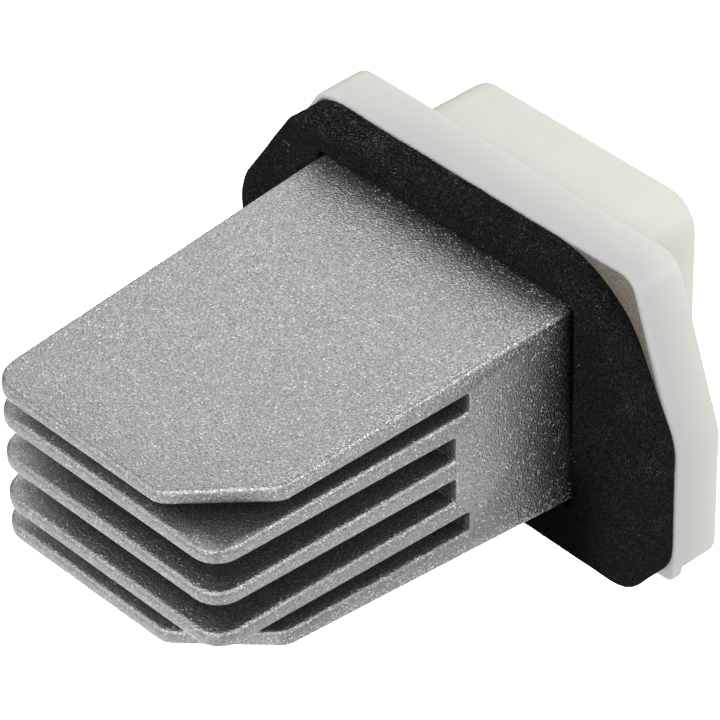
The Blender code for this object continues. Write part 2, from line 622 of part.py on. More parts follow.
def make_flange_housing():
    edges = edge_steps(FLANGE_FRONT, FLANGE_REAR, MOULDED_EDGE_ROUND / 2, MOULDED_EDGE_ROUND)
    rim_rear = FLANGE_FRONT + RIM_DEPTH
    outlines = [(y, inset(RIM_CORNERS, shift)) for y, shift in [*edges[:4], (rim_rear, 0.0)]]
    outlines += [(y, inset(FLANGE_CORNERS, shift)) for y, shift in [(rim_rear + RIM_STEP, 0.0), *edges[4:]]]
    housing = loft("flange_housing", [(y, rounded(corners, 6)) for y, corners in outlines], WHITE)
    pocket = prism("skirt_pocket", inset(FLANGE_CORNERS, SKIRT_WALL), PLATE_REAR, FLANGE_REAR + OVERCUT, WHITE, 6)
    combine(housing, pocket)

    collar = prism("collar_block", COLLAR_CORNERS, PLATE_REAR - PLATE_THICKNESS / 2, COLLAR_REAR, WHITE)
    combine(housing, collar, "UNION")
    combine(housing, prism("collar_core", inset(COLLAR_CORNERS, COLLAR_WALL), PLATE_REAR,
                           COLLAR_REAR + OVERCUT, WHITE))

    rib_front = PLATE_REAR - PLATE_THICKNESS / 2
    rib_rear = FLANGE_REAR - RIB_SETBACK
    cover_side = COVER_WIDTH / 2 + COVER_DRAFT * (COVER_REAR - COVER_FRONT) + SEAT_GAP
    half_rib = RIB_THICKNESS / 2
    embed = SKIRT_WALL / 2
    for label, (hole_x, hole_z) in zip(("left", "right"), MOUNTING_HOLES):
        side = math.copysign(1.0, hole_x)
        boss = cylinder("boss_" + label, (hole_x, hole_z), BOSS_DIAMETER, rib_front, FLANGE_REAR, WHITE, 24)
        combine(housing, boss, "UNION")
        for row in (-1, 0, 1, 2):
            z = hole_z + row * RIB_ROW_PITCH
            reach = side_reach(FLANGE_CORNERS, z)
            outer = (reach[1] if side > 0 else -reach[0]) - embed
            low = (min(side * cover_side, side * outer), rib_front, z - half_rib)
            high = (max(side * cover_side, side * outer), rib_rear, z + half_rib)
            combine(housing, box("rib_" + label + str(row + 1), low, high, WHITE), "UNION")
        upright = box("rib_upright_" + label, (hole_x - half_rib, rib_front, FLANGE_BOTTOM + embed),
                      (hole_x + half_rib, rib_rear - RIB_SETBACK, hole_z + 2 * RIB_ROW_PITCH - half_rib), WHITE)
        combine(housing, upright, "UNION")
    for label, centre in zip(("left", "right"), MOUNTING_HOLES):
        combine(housing, cylinder("mounting_hole_" + label, centre, MOUNTING_HOLE,
                                  FLANGE_FRONT - OVERCUT, FLANGE_REAR + OVERCUT, WHITE, 24))

    window_half = TAB_WIDTH / 2 + SEAT_GAP + WINDOW_MARGIN
    window = prism("transistor_window", rectangle(-window_half, window_half, LEAD_Z - WINDOW_MARGIN,
                   TAB_TOP + SEAT_GAP + WINDOW_MARGIN, WINDOW_MARGIN),
                   FLANGE_FRONT - OVERCUT, PLATE_REAR + OVERCUT, WHITE, 3)
    combine(housing, window)
    for label, x in (("left", -SCREW_X), ("right", SCREW_X)):
        combine(housing, cylinder("screw_hole_" + label, (x, 0.0), SCREW_DIAMETER + 2 * SEAT_GAP,
                                  FLANGE_FRONT - OVERCUT, PLATE_REAR + OVERCUT, WHITE))
    for label, side, face in (("top", 1, COLLAR_CORNERS[1][1]), ("bottom", -1, COLLAR_CORNERS[0][1])):
        combine(housing, make_snap_lug(label, side, face), "UNION")
    return housing


def make_snap_lug(label, side, face):
    """A wedge on the collar that holds the cover, sloping up from its rear edge."""
    half = SNAP_WIDTH / 2 - SEAT_GAP
    rear = COLLAR_REAR - SEAT_GAP
    front = rear - SNAP_LENGTH
    profile = [(front, 0.0), (front, SNAP_HEIGHT), (front + SNAP_LENGTH / 3, SNAP_HEIGHT), (rear, SEAT_GAP), (rear, 0.0)]
    data = bmesh.new()
    rings = []
    for x in (-half, half):
        rings.append([data.verts.new((x, y, face + side * (rise - (COLLAR_WALL / 2 if rise == 0.0 else 0.0))))
                      for y, rise in profile])
    for index in range(len(profile)):
        after = (index + 1) % len(profile)
        data.faces.new((rings[0][index], rings[0][after], rings[1][after], rings[1][index]))
    data.faces.new(rings[0])
    data.faces.new(list(reversed(rings[1])))
    return finish("snap_lug_" + label, data, WHITE)


# Connector cover: rounded box with a recessed socket

SOCKET_CORNERS = rectangle(-SOCKET_WIDTH / 2, SOCKET_WIDTH / 2, SOCKET_LOW, SOCKET_HIGH, SOCKET_CORNER_ROUND)


def make_cover():
    cover = moulded("connector_cover", COVER_CORNERS, COVER_FRONT, COVER_REAR, COVER_FRONT_ROUND, COVER_REAR_ROUND,
                    CREAM, COVER_DRAFT, steps=6)
    cavity = prism("cover_cavity", INNER_CORNERS, COVER_FRONT - OVERCUT, COVER_INNER_REAR, CREAM, 6)
    well = prism("socket_well", inset(SOCKET_CORNERS, -SOCKET_WALL), FLOOR_FRONT, COVER_REAR, CREAM, 4)
    combine(cavity, well)
    combine(cover, cavity)

    rib_half = RIB_THICKNESS / 2
    rib_x = COVER_INNER_HALF - BOARD_RIB_DEPTH
    embed = COVER_WALL / 2
    for level, z in (("upper", COVER_INNER_TOP - COVER_CORNER_ROUND), ("lower", COVER_INNER_BOTTOM + COVER_CORNER_ROUND)):
        for label, side in (("left", -1), ("right", 1)):
            ends = sorted((side * rib_x, side * (COVER_INNER_HALF + embed)))
            rib = box("board_rib_" + level + "_" + label, (ends[0], BOARD_REAR + SEAT_GAP, z - rib_half),
                      (ends[1], COVER_INNER_REAR + embed, z + rib_half), CREAM)
            combine(cover, rib, "UNION")

    sections = [
        (FLOOR_REAR, rounded(SOCKET_CORNERS, 4)),
        (COVER_REAR - MOUTH_CHAMFER, rounded(SOCKET_CORNERS, 4)),
        (COVER_REAR + OVERCUT, rounded(inset(SOCKET_CORNERS, -MOUTH_CHAMFER - OVERCUT), 4)),
    ]
    combine(cover, loft("socket_core", sections, CREAM))

    for name, x, width in BLADES:
        half = width / 2 + SEAT_GAP
        slot = box(name + "_slot", (x - half, FLOOR_FRONT - OVERCUT, SOCKET_Z - BLADE_THICKNESS / 2 - SEAT_GAP),
                   (x + half, FLOOR_REAR + OVERCUT, SOCKET_Z + BLADE_THICKNESS / 2 + SEAT_GAP), CREAM)
        combine(cover, slot)

    for label, side in (("left", -1), ("right", 1)):
        ends = sorted((side * (KEY_X), side * (KEY_X + KEY_WIDTH)))
        key = box("key_rib_" + label, (ends[0], FLOOR_REAR - SOCKET_FLOOR / 2, SOCKET_LOW - SOCKET_WALL / 2),
                  (ends[1], COVER_REAR - MOUTH_CHAMFER - KEY_WIDTH, SOCKET_LOW + KEY_HEIGHT), CREAM)
        combine(cover, key, "UNION")
    combine(cover, make_latch_wedge(), "UNION")

    window_front = COLLAR_REAR - SEAT_GAP - SNAP_LENGTH - SEAT_GAP
    half = SNAP_WIDTH / 2
    for label, low, high in (("top", COVER_INNER_TOP - OVERCUT, COVER_TOP + OVERCUT),
                             ("bottom", COVER_BOTTOM - OVERCUT, COVER_INNER_BOTTOM + OVERCUT)):
        combine(cover, box("snap_window_" + label, (-half, window_front, low), (half, COLLAR_REAR, high), CREAM))
    return cover


def make_latch_wedge():
    """The ledge on the socket's upper wall that a plug's latch hooks behind."""
    rear = COVER_REAR - MOUTH_CHAMFER - LATCH_HEIGHT / 2
    front = rear - LATCH_LENGTH
    top = SOCKET_HIGH + SOCKET_WALL / 2
    low = SOCKET_HIGH - LATCH_HEIGHT
    profile = [(front, top), (front, low), (front + LATCH_LENGTH / 2, low), (rear, SOCKET_HIGH), (rear, top)]
    half = LATCH_WIDTH / 2
    data = bmesh.new()
    rings = [[data.verts.new((x, y, z)) for y, z in profile] for x in (-half, half)]
    for index in range(len(profile)):
        after = (index + 1) % len(profile)
        data.faces.new((rings[0][index], rings[0][after], rings[1][after], rings[1][index]))
    data.faces.new(rings[0])
    data.faces.new(list(reversed(rings[1])))
    return finish("latch_wedge", data, CREAM)


# Blades of the connector

BLADES = (
    ("power_terminal_left", -BLADE_PITCH, POWER_BLADE_WIDTH),
    ("signal_terminal", 0.0, SIGNAL_BLADE_WIDTH),
    ("power_terminal_right", BLADE_PITCH, POWER_BLADE_WIDTH),
)


def make_blade(name, x, width):
    """A flat blade with a bevelled tip, a shoulder ahead of the socket floor and a board tail."""
    tip = COVER_REAR - BLADE_SETBACK
    half = width / 2
    shoulder = half + SHOULDER_STEP
    tail = BLADE_TAIL_WIDTH / 2
    taper = min(half / 3, BLADE_THICKNESS)
    shoulder_rear = SHOULDER_FRONT + SHOULDER_LENGTH
    right = [(tail, TAIL_FRONT), (tail, SHOULDER_FRONT), (shoulder, SHOULDER_FRONT), (shoulder, shoulder_rear),
             (half, shoulder_rear), (half, tip - 1.5 * taper), (half - taper, tip)]
    outline = [(x + across, y) for across, y in right] + [(x - across, y) for across, y in reversed(right)]
    blade = flat_plate(name, outline, SOCKET_Z - BLADE_THICKNESS / 2, SOCKET_Z + BLADE_THICKNESS / 2, BRASS)
    return blade


# Circuit board with its holes

def make_board():
    corners = inset(INNER_CORNERS, BOARD_GAP)
    corners = [(x, z, BOARD_CORNER_ROUND) for x, z, _ in corners]
    board = prism("circuit_board", corners, BOARD_FRONT, BOARD_REAR, BOARD, 4)
    front = BOARD_FRONT - OVERCUT
    rear = BOARD_REAR + OVERCUT
    for name, x, _ in BLADES:
        half = BLADE_TAIL_WIDTH / 2 + SEAT_GAP
        combine(board, box(name + "_board_slot", (x - half, front, SOCKET_Z - BLADE_THICKNESS / 2 - SEAT_GAP),
                           (x + half, rear, SOCKET_Z + BLADE_THICKNESS / 2 + SEAT_GAP), BOARD))
    for label, x in LEADS:
        combine(board, cylinder("lead_hole_" + label, (x, LEAD_Z), math.hypot(LEAD_WIDTH, LEAD_THICKNESS) + SEAT_GAP,
                                front, rear, BOARD, 12))
    for label, side in (("left", -1), ("right", 1)):
        combine(board, cylinder("can_hole_" + label, (CAN_X + side * CAN_LEAD_SPREAD / 2, CAN_Z),
                                CAN_LEAD_DIAMETER + 2 * SEAT_GAP, front, rear, BOARD, 12))
    return board


# Power transistor on the rear face of the heat sink

LEADS = (("left", -LEAD_PITCH), ("middle", 0.0), ("right", LEAD_PITCH))


def make_transistor():
    half = TAB_WIDTH / 2
    outline = rectangle(-half, half, TAB_BOTTOM, TAB_TOP, TAB_CORNER_ROUND)
    pad = prism("insulating_pad", inset(outline, -SEAT_GAP), PAD_FRONT, PAD_FRONT + PAD_THICKNESS, GREY, 3)
    tab = prism("transistor_tab", outline, TAB_FRONT, TAB_REAR, COPPER, 3)
    for piece in (pad, tab):
        combine(piece, cylinder(piece.name + "_hole", (0.0, TAB_HOLE_Z), TAB_HOLE, SINK_REAR, CASE_REAR, COPPER))
    case_top = TAB_BOTTOM + CASE_LENGTH
    moulded("transistor_case", rectangle(-half, half, TAB_BOTTOM, case_top, CASE_CORNER_ROUND), CASE_FRONT,
            CASE_REAR, CASE_FRONT_ROUND, CASE_CORNER_ROUND, BLACK, CASE_DRAFT, steps=2)
    lead_mid = CASE_FRONT + CASE_HEIGHT / 3
    for label, x in LEADS:
        make_lead("transistor_lead_" + label, x, lead_mid)


def make_lead(name, x, start_y):
    """A flat lead that leaves the case downwards and bends back through the board."""
    half_thick = LEAD_THICKNESS / 2
    radius = LEAD_THICKNESS * 2
    top = TAB_BOTTOM - SEAT_GAP
    end = BOARD_REAR + TAIL_LENGTH / 2
    path = [(start_y, top)]
    for turn in range(0, 91, 15):
        angle = math.radians(turn)
        path.append((start_y + radius * (1 - math.cos(angle)), LEAD_Z + radius - radius * math.sin(angle)))
    path.append((end, LEAD_Z))
    data = bmesh.new()
    rings = []
    for index, (y, z) in enumerate(path):
        before = Vector(path[max(index - 1, 0)])
        after = Vector(path[min(index + 1, len(path) - 1)])
        along = (after - before).normalized()
        across = Vector((-along.y, along.x)) * half_thick
        rings.append([data.verts.new((x + side * LEAD_WIDTH / 2, y + lift * across.x, z + lift * across.y))
                      for side, lift in ((-1, -1), (1, -1), (1, 1), (-1, 1))])
    for first, second in zip(rings, rings[1:]):
        for index in range(4):
            after = (index + 1) % 4
            data.faces.new((first[index], first[after], second[after], second[index]))
    data.faces.new(rings[0])
    data.faces.new(list(reversed(rings[-1])))
    return finish(name, data, COPPER)


# Screws

def make_screw(name, centre, seat):
    """A pan-head screw whose head rests at the seat plane and whose shank goes into the heat sink."""
    head = SCREW_HEAD_DIAMETER / 2
    shank = SCREW_DIAMETER / 2
    end = SINK_REAR - SCREW_DEPTH
    profile = [(shank * 0.6, end), (shank, end + shank * 0.6), (shank, seat), (head, seat), (head, seat + SCREW_HEAD_HEIGHT * 0.45)]
    for turn in (30, 60):
        angle = math.radians(turn)
        profile.append((head * (0.55 + 0.45 * math.cos(angle)), seat + SCREW_HEAD_HEIGHT * (0.45 + 0.55 * math.sin(angle))))
    profile.append((head * 0.5, seat + SCREW_HEAD_HEIGHT))
    screw = turned(name, profile, centre, STEEL)
    half = DRIVE_WIDTH / 2
    reach = DRIVE_LENGTH / 2
    low = seat + SCREW_HEAD_HEIGHT - DRIVE_DEPTH
    high = seat + SCREW_HEAD_HEIGHT + OVERCUT
    x, z = centre
    combine(screw, box(name + "_slot_across", (x - reach, low, z - half), (x + reach, high, z + half), STEEL))
    combine(screw, box(name + "_slot_upright", (x - half, low, z - reach), (x + half, high, z + reach), STEEL))
    return screw


# Small components on the board

def make_can():
    """A radial capacitor on the rear of the board, with its two leads."""
    front = BOARD_REAR + SEAT_GAP
    radius = CAN_DIAMETER / 2
    groove = radius * 0.93
    can = turned("capacitor_can", [
        (radius, front), (radius, front + CAN_LENGTH * 0.14), (groove, front + CAN_LENGTH * 0.20),
        (radius, front + CAN_LENGTH * 0.26), (radius, front + CAN_LENGTH * 0.96), (radius * 0.92, front + CAN_LENGTH),
    ], (CAN_X, CAN_Z), SLEEVE, 24)
    for label, side in (("left", -1), ("right", 1)):
        lead = cylinder("can_lead_" + label, (CAN_X + side * CAN_LEAD_SPREAD / 2, CAN_Z), CAN_LEAD_DIAMETER,
                        TAIL_FRONT, front + CAN_LENGTH / 4, SLEEVE, 10)
        combine(can, lead, "UNION")
    return can


def make_chip():
    """An eight-legged amplifier chip on the front of the board."""
    seat = BOARD_FRONT - SEAT_GAP
    rear = seat - CHIP_LEG_THICKNESS
    front = rear - CHIP_THICKNESS
    half_width = CHIP_WIDTH / 2
    half_height = CHIP_HEIGHT / 2
    chip = moulded("amplifier_chip", rectangle(CHIP_X - half_width, CHIP_X + half_width, CHIP_Z - half_height,
                   CHIP_Z + half_height, CHIP_EDGE_ROUND), front, rear, CHIP_EDGE_ROUND, CHIP_EDGE_ROUND / 2,
                   BLACK, CHIP_DRAFT, steps=2)
    middle = (front + rear) / 2
    for row, side in (("upper", 1), ("lower", -1)):
        for number in range(4):
            x = CHIP_X + (number - 1.5) * CHIP_LEG_PITCH
            inner = CHIP_Z + side * (half_height - CHIP_LEG_REACH / 2)
            knee = CHIP_Z + side * (half_height + CHIP_LEG_REACH / 2)
            foot = CHIP_Z + side * (half_height + CHIP_LEG_REACH)
            thick = CHIP_LEG_THICKNESS
            outline = [(inner, middle), (knee, middle), (knee, seat - thick), (foot, seat - thick), (foot, seat),
                       (knee - side * thick, seat), (knee - side * thick, middle + thick), (inner, middle + thick)]
            data = bmesh.new()
            rings = [[data.verts.new((x + shift * CHIP_LEG_WIDTH / 2, y, z)) for z, y in outline] for shift in (-1, 1)]
            for index in range(len(outline)):
                after = (index + 1) % len(outline)
                data.faces.new((rings[0][index], rings[0][after], rings[1][after], rings[1][index]))
            data.faces.new(rings[0])
            data.faces.new(list(reversed(rings[1])))
            combine(chip, finish("chip_leg_" + row + str(number), data, BLACK), "UNION")
    return chip


def make_small(name, column, row, surface):
    """A rectangular chip component on the front of the board, with slightly proud end caps."""
    x = SMALL_FIRST_X + column * SMALL_STEP_X
    z = SMALL_FIRST_Z - row * SMALL_STEP_Z
    rear = BOARD_FRONT - SEAT_GAP
    cap = SMALL_LENGTH / 6
    lift = SMALL_HEIGHT / 12
    body = box(name, (x - SMALL_LENGTH / 2 + cap / 2, rear - SMALL_HEIGHT + lift, z - SMALL_WIDTH / 2 + lift),
               (x + SMALL_LENGTH / 2 - cap / 2, rear - lift, z + SMALL_WIDTH / 2 - lift), surface)
    for label, side in (("left", -1), ("right", 1)):
        ends = sorted((x + side * SMALL_LENGTH / 2, x + side * (SMALL_LENGTH / 2 - cap)))
        combine(body, box(name + "_cap_" + label, (ends[0], rear - SMALL_HEIGHT, z - SMALL_WIDTH / 2),
                          (ends[1], rear, z + SMALL_WIDTH / 2), surface), "UNION")
    return body


def make_diode():
    """A moulded surge diode on the rear of the board."""
    front = BOARD_REAR + SEAT_GAP
    return moulded("surge_diode", rectangle(DIODE_X - DIODE_LENGTH / 2, DIODE_X + DIODE_LENGTH / 2,
                   DIODE_Z - DIODE_WIDTH / 2, DIODE_Z + DIODE_WIDTH / 2, DIODE_EDGE_ROUND), front,
                   front + DIODE_HEIGHT, DIODE_EDGE_ROUND / 2, DIODE_EDGE_ROUND, BLACK, DIODE_DRAFT, steps=2)


make_heat_sink()
make_gasket()
make_film()
make_flange_housing()
make_cover()
for blade_name, blade_x, blade_width in BLADES:
    make_blade(blade_name, blade_x, blade_width)
make_board()
make_transistor()
make_screw("transistor_screw", (0.0, TAB_HOLE_Z), TAB_REAR + SEAT_GAP)
make_screw("housing_screw_left", (-SCREW_X, 0.0), PLATE_REAR + SEAT_GAP)
make_screw("housing_screw_right", (SCREW_X, 0.0), PLATE_REAR + SEAT_GAP)
make_can()
make_chip()
make_small("gate_resistor", 0, 0, RESISTOR)
make_small("feedback_resistor", 1, 0, RESISTOR)
make_small("input_resistor", 0, 1, RESISTOR)
make_small("divider_resistor", 1, 1, RESISTOR)
make_small("filter_capacitor", 0, 2, CERAMIC)
make_small("supply_capacitor", 1, 2, CERAMIC)
make_diode()
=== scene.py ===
"""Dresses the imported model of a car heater's blower motor resistor: a blasted aluminium casting,
a black foam gasket with its bonding film, a white moulded flange, a cream connector cover with
tinned blades, and the small circuit that they hold.

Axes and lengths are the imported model's: X runs across the flange, Y from the fin tips to the
connector, Z is up, and every length is in metres.
"""

import math

import bmesh
import bpy
from bpy.props import FloatProperty, FloatVectorProperty, IntProperty, PointerProperty
from mathutils import Matrix, Vector, noise


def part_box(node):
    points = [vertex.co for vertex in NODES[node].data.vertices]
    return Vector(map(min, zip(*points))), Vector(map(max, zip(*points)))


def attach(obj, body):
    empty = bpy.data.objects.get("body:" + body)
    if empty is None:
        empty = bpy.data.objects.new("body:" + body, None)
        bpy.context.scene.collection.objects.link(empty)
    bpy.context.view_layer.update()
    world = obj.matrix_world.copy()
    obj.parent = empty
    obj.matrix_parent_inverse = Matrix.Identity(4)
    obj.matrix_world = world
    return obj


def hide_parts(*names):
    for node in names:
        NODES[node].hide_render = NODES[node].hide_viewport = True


bl_info = {
    "name": "Blower Motor Resistor",
    "version": (1, 0, 0),
    "blender": (4, 5, 0),
    "location": "3D View > Sidebar > Resistor",
    "description": "Builds the cast, foam and moulded finishes of a blower motor resistor",
    "category": "Object",
}

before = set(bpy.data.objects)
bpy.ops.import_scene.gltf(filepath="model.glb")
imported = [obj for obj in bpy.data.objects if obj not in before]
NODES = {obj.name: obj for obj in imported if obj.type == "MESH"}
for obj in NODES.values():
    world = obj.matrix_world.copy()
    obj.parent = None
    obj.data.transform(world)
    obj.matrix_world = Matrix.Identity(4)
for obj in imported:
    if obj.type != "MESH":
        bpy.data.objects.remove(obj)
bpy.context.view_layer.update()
SINK_LOW, SINK_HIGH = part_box("heat_sink")
FOAM_LOW, FOAM_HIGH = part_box("foam_gasket")
FLANGE_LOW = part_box("flange_housing")[0]

SAME_PLACE = 0.000001  # vertices closer than this are one
FIN_FLARE = 0.055  # how much further out the outer fins lie for each metre towards the root
HOLES = ((-0.0266, -0.0047), (0.0254, -0.0047))  # (x, z) of the flange's screw holes under the foam
FOAM_GAP = 0.00003  # from the foam to the flange
FILM_GAP = 0.00002  # from the film to the flange
FILM_FRONT = 0.00016  # from the film's front face to the flange


# Node trees: values that take part in sums, and one method that adds a node

def maths(operation, swapped=False):
    """A method that adds a Math node to a value, and to the other value or number if there is one."""
    def method(self, *other):
        terms = (*other, self) if swapped else (self, *other)
        return self.recipe.add("ShaderNodeMath", dict(enumerate(terms)), operation=operation)
    return method


class Value:
    """One output of a node tree. Sums, products and comparisons of values add Math nodes."""

    __add__, __radd__ = maths("ADD"), maths("ADD", True)
    __sub__, __rsub__ = maths("SUBTRACT"), maths("SUBTRACT", True)
    __mul__, __rmul__ = maths("MULTIPLY"), maths("MULTIPLY", True)
    __truediv__, __abs__ = maths("DIVIDE"), maths("ABSOLUTE")
    above, below = maths("GREATER_THAN"), maths("LESS_THAN")
    at_least, at_most = maths("MAXIMUM"), maths("MINIMUM")

    def __init__(self, recipe, socket):
        self.recipe = recipe
        self.socket = socket

    def __neg__(self):
        return self * -1.0

    def other(self, name):
        """Another output of the same node."""
        return Value(self.recipe, self.socket.node.outputs[name])


class Recipe:
    """Adds nodes to one node tree."""

    def __init__(self, tree):
        self.tree = tree

    def add(self, kind, sockets=(), output=0, **settings):
        """Adds a node of a type with its settings, then feeds its sockets, and gives one output."""
        node = self.tree.nodes.new(kind)
        for key, value in settings.items():
            if key == "choices":
                while len(node.index_switch_items) < value:
                    node.index_switch_items.new()
            else:
                setattr(node, key, value)
        for key, value in dict(sockets).items():
            self.feed(node.inputs[key], value)
        return Value(self, node.outputs[output])

    def feed(self, socket, value):
        """Gives a socket a link, several links, or a plain value."""
        for one in value if isinstance(value, list) and isinstance(value[0], Value) else [value]:
            if isinstance(one, Value):
                self.tree.links.new(one.socket, socket)
            elif socket.type == "RGBA":
                socket.default_value = (*one[:3], 1.0)
            else:
                socket.default_value = one

    def vector(self, x=0.0, y=0.0, z=0.0):
        return self.add("ShaderNodeCombineXYZ", {0: x, 1: y, 2: z})

    def remap(self, value, low, high, start=0.0, end=1.0):
        """A smooth step from start to end while the value goes from low to high."""
        ends = {"From Min": low, "From Max": high, "To Min": start, "To Max": end}
        return self.add("ShaderNodeMapRange", {"Value": value, **ends}, interpolation_type="SMOOTHSTEP")


class Finish(Recipe):
    """A material: one principled surface and the patterns that vary it. Sizes are in metres."""

    def __init__(self, name, **plain):
        self.material = bpy.data.materials.new(name)
        self.material.use_nodes = True
        super().__init__(self.material.node_tree)
        self.surface = self.tree.nodes["Principled BSDF"]
        self.give(**plain)
        self.place = self.add("ShaderNodeTexCoord", output="Object")

    def give(self, **values):
        """Feeds the surface's inputs, each called by its name in small letters."""
        for key, value in values.items():
            self.feed(self.surface.inputs[key.replace("_", " ").title().replace("Ior", "IOR")], value)

    def turned(self, scale=(1.0, 1.0, 1.0), rotation=(0.0, 0.0, 0.0), shift=(0.0, 0.0, 0.0)):
        """The place on the piece, stretched and turned, for patterns with a direction."""
        return self.add("ShaderNodeMapping", {"Vector": self.place, "Scale": scale, "Rotation": rotation,
                                              "Location": shift})

    def grain(self, size, detail=2.0, roughness=0.5, place=None, distortion=0.0):
        """Soft noise whose features have about the given size."""
        return self.add("ShaderNodeTexNoise", {
            "Vector": place or self.place, "Scale": 1.0 / size, "Detail": detail, "Roughness": roughness,
            "Distortion": distortion,
        })

    def cells(self, size, feature="F1", place=None):
        """Distance to scattered points that lie about the given size apart."""
        return self.add("ShaderNodeTexVoronoi", {"Vector": place or self.place, "Scale": 1.0 / size},
                        "Distance", feature=feature)

    def bands(self, direction, scale, distortion=0.0):
        """Even bands across one axis, for woven cloth."""
        return self.add("ShaderNodeTexWave", {"Vector": self.place, "Scale": scale, "Distortion": distortion},
                        bands_direction=direction)

    def axis(self, name):
        """One coordinate of the place: X, Y or Z."""
        return self.add("ShaderNodeSeparateXYZ", {0: self.place}, name)

    def distance(self, point, scale):
        """Distance from a point, with the axes weighed."""
        offset = self.add("ShaderNodeVectorMath", {0: self.place, 1: point}, operation="SUBTRACT")
        weighed = self.add("ShaderNodeVectorMath", {0: offset, 1: scale}, operation="MULTIPLY")
        return self.add("ShaderNodeVectorMath", {0: weighed}, "Value", operation="LENGTH")

    def patches(self, size, first, last, detail=2.0, roughness=0.6, place=None):
        """A smooth step over soft noise: 1 in scattered patches, 0 between them."""
        return self.remap(self.grain(size, detail, roughness, place), first, last)

    def paint(self, tone, *layers):
        """Colours the surface: a first tone, then layers over it as (share from 0 to 1, colour)."""
        for share, colour in layers:
            tone = self.add("ShaderNodeMix", {0: share, 6: tone, 7: colour}, 2, data_type="RGBA")
        self.give(base_color=tone)

    def bump(self, *steps):
        """Raises the surface by (height, depth): heights from 0 to 1, each on top of the ones before."""
        below = {}
        for height, depth in steps:
            raised = self.add("ShaderNodeBump", {"Height": height, "Distance": depth, **below})
            below = {"Normal": raised}
        self.give(normal=raised)


class Growth(Recipe):
    """A geometry tree with named sizes, grown once and kept as a plain mesh."""

    def __init__(self, name, sizes):
        super().__init__(bpy.data.node_groups.new(name, "GeometryNodeTree"))
        self.sizes = sizes
        self.keys = {}
        face = self.tree.interface
        face.new_socket("Geometry", in_out="INPUT", socket_type="NodeSocketGeometry")
        face.new_socket("Geometry", in_out="OUTPUT", socket_type="NodeSocketGeometry")
        for label, value in sizes.items():
            kind = "NodeSocketInt" if isinstance(value, int) else "NodeSocketFloat"
            self.keys[label] = face.new_socket(label, in_out="INPUT", socket_type=kind).identifier
        entry = self.tree.nodes.new("NodeGroupInput")
        self.given = {socket.name: Value(self, socket) for socket in entry.outputs if socket.name}

    def coordinates(self, kind="GeometryNodeInputPosition"):
        """X, Y and Z of each point's place, or of another input."""
        parts = self.add("ShaderNodeSeparateXYZ", {0: self.add(kind)})
        return parts, parts.other("Y"), parts.other("Z")

    def chosen(self, kind, number, values):
        """One of several values, by its number."""
        return self.add("GeometryNodeIndexSwitch", {0: number, **dict(enumerate(values, 1))},
                        data_type=kind, choices=len(values))

    def random(self, low, high, seed):
        """A random number for each point or instance, the same in every run."""
        return self.add("FunctionNodeRandomValue", {2: low, 3: high, "Seed": seed}, 1, data_type="FLOAT")

    def moved(self, shape, place=(0.0, 0.0, 0.0), turn=(0.0, 0.0, 0.0), scale=(1.0, 1.0, 1.0)):
        return self.add("GeometryNodeTransform",
                        {"Geometry": shape, "Translation": place, "Rotation": turn, "Scale": scale})

    def joined(self, *shapes):
        return self.add("GeometryNodeJoinGeometry", {0: list(reversed(shapes))})

    def less(self, shape, cutters):
        """A shape with other shapes cut out of it."""
        return self.add("GeometryNodeMeshBoolean", {"Mesh 1": shape, "Mesh 2": cutters},
                        operation="DIFFERENCE", solver="EXACT")

    def swept(self, line, profile, radius):
        """A round bar, of few sides, along a line."""
        ring = self.add("GeometryNodeCurvePrimitiveCircle", {"Resolution": profile, "Radius": radius}, mode="RADIUS")
        return self.add("GeometryNodeCurveToMesh", {"Curve": line, "Profile Curve": ring, "Fill Caps": True})

    def slab(self, outline):
        """A closed body one metre high on a filled outline in the XY plane."""
        base = self.add("GeometryNodeFillCurve", {"Curve": outline}, mode="NGONS")
        up = {"Offset": (0.0, 0.0, 1.0), "Offset Scale": 1.0, "Individual": False}
        raised = self.add("GeometryNodeExtrudeMesh", {"Mesh": base, **up}, mode="FACES")
        under = self.add("GeometryNodeFlipFaces", {"Mesh": base})
        return self.add("GeometryNodeMergeByDistance",
                        {"Geometry": self.joined(raised, under), "Distance": SAME_PLACE})

    def grow(self, name, shape, finish, base=None):
        """Ends the tree, sets its sizes, and gives a plain object with the resulting mesh."""
        real = self.add("GeometryNodeRealizeInstances", {"Geometry": shape})
        dressed = self.add("GeometryNodeSetMaterial", {"Geometry": real, "Material": finish.material})
        leave = self.tree.nodes.new("NodeGroupOutput")
        self.tree.links.new(dressed.socket, leave.inputs[0])
        holder = bpy.data.objects.new(name, base or bpy.data.meshes.new(name))
        modifier = holder.modifiers.new(self.tree.name, "NODES")
        modifier.node_group = self.tree
        for label, key in self.keys.items():
            modifier[key] = self.sizes[label]
        return plain(holder)


# Meshes

def plain(holder, **bevel):
    """Bevels an object if settings are given, applies all its modifiers, and leaves a plain mesh."""
    if not holder.users_collection:
        bpy.context.scene.collection.objects.link(holder)
    if bevel:
        step = holder.modifiers.new("bevel", "BEVEL")
        for key, value in bevel.items():
            setattr(step, key, value)
    graph = bpy.context.evaluated_depsgraph_get()
    mesh = bpy.data.meshes.new_from_object(holder.evaluated_get(graph), depsgraph=graph)
    holder.modifiers.clear()
    holder.data = mesh
    mesh.name = holder.name
    return holder


def smooth(piece, degrees=35.0):
    """Shades a piece smooth and keeps its edges sharp beyond an angle."""
    piece.data.shade_smooth()
    piece.data.set_sharp_from_angle(angle=math.radians(degrees))
    return piece


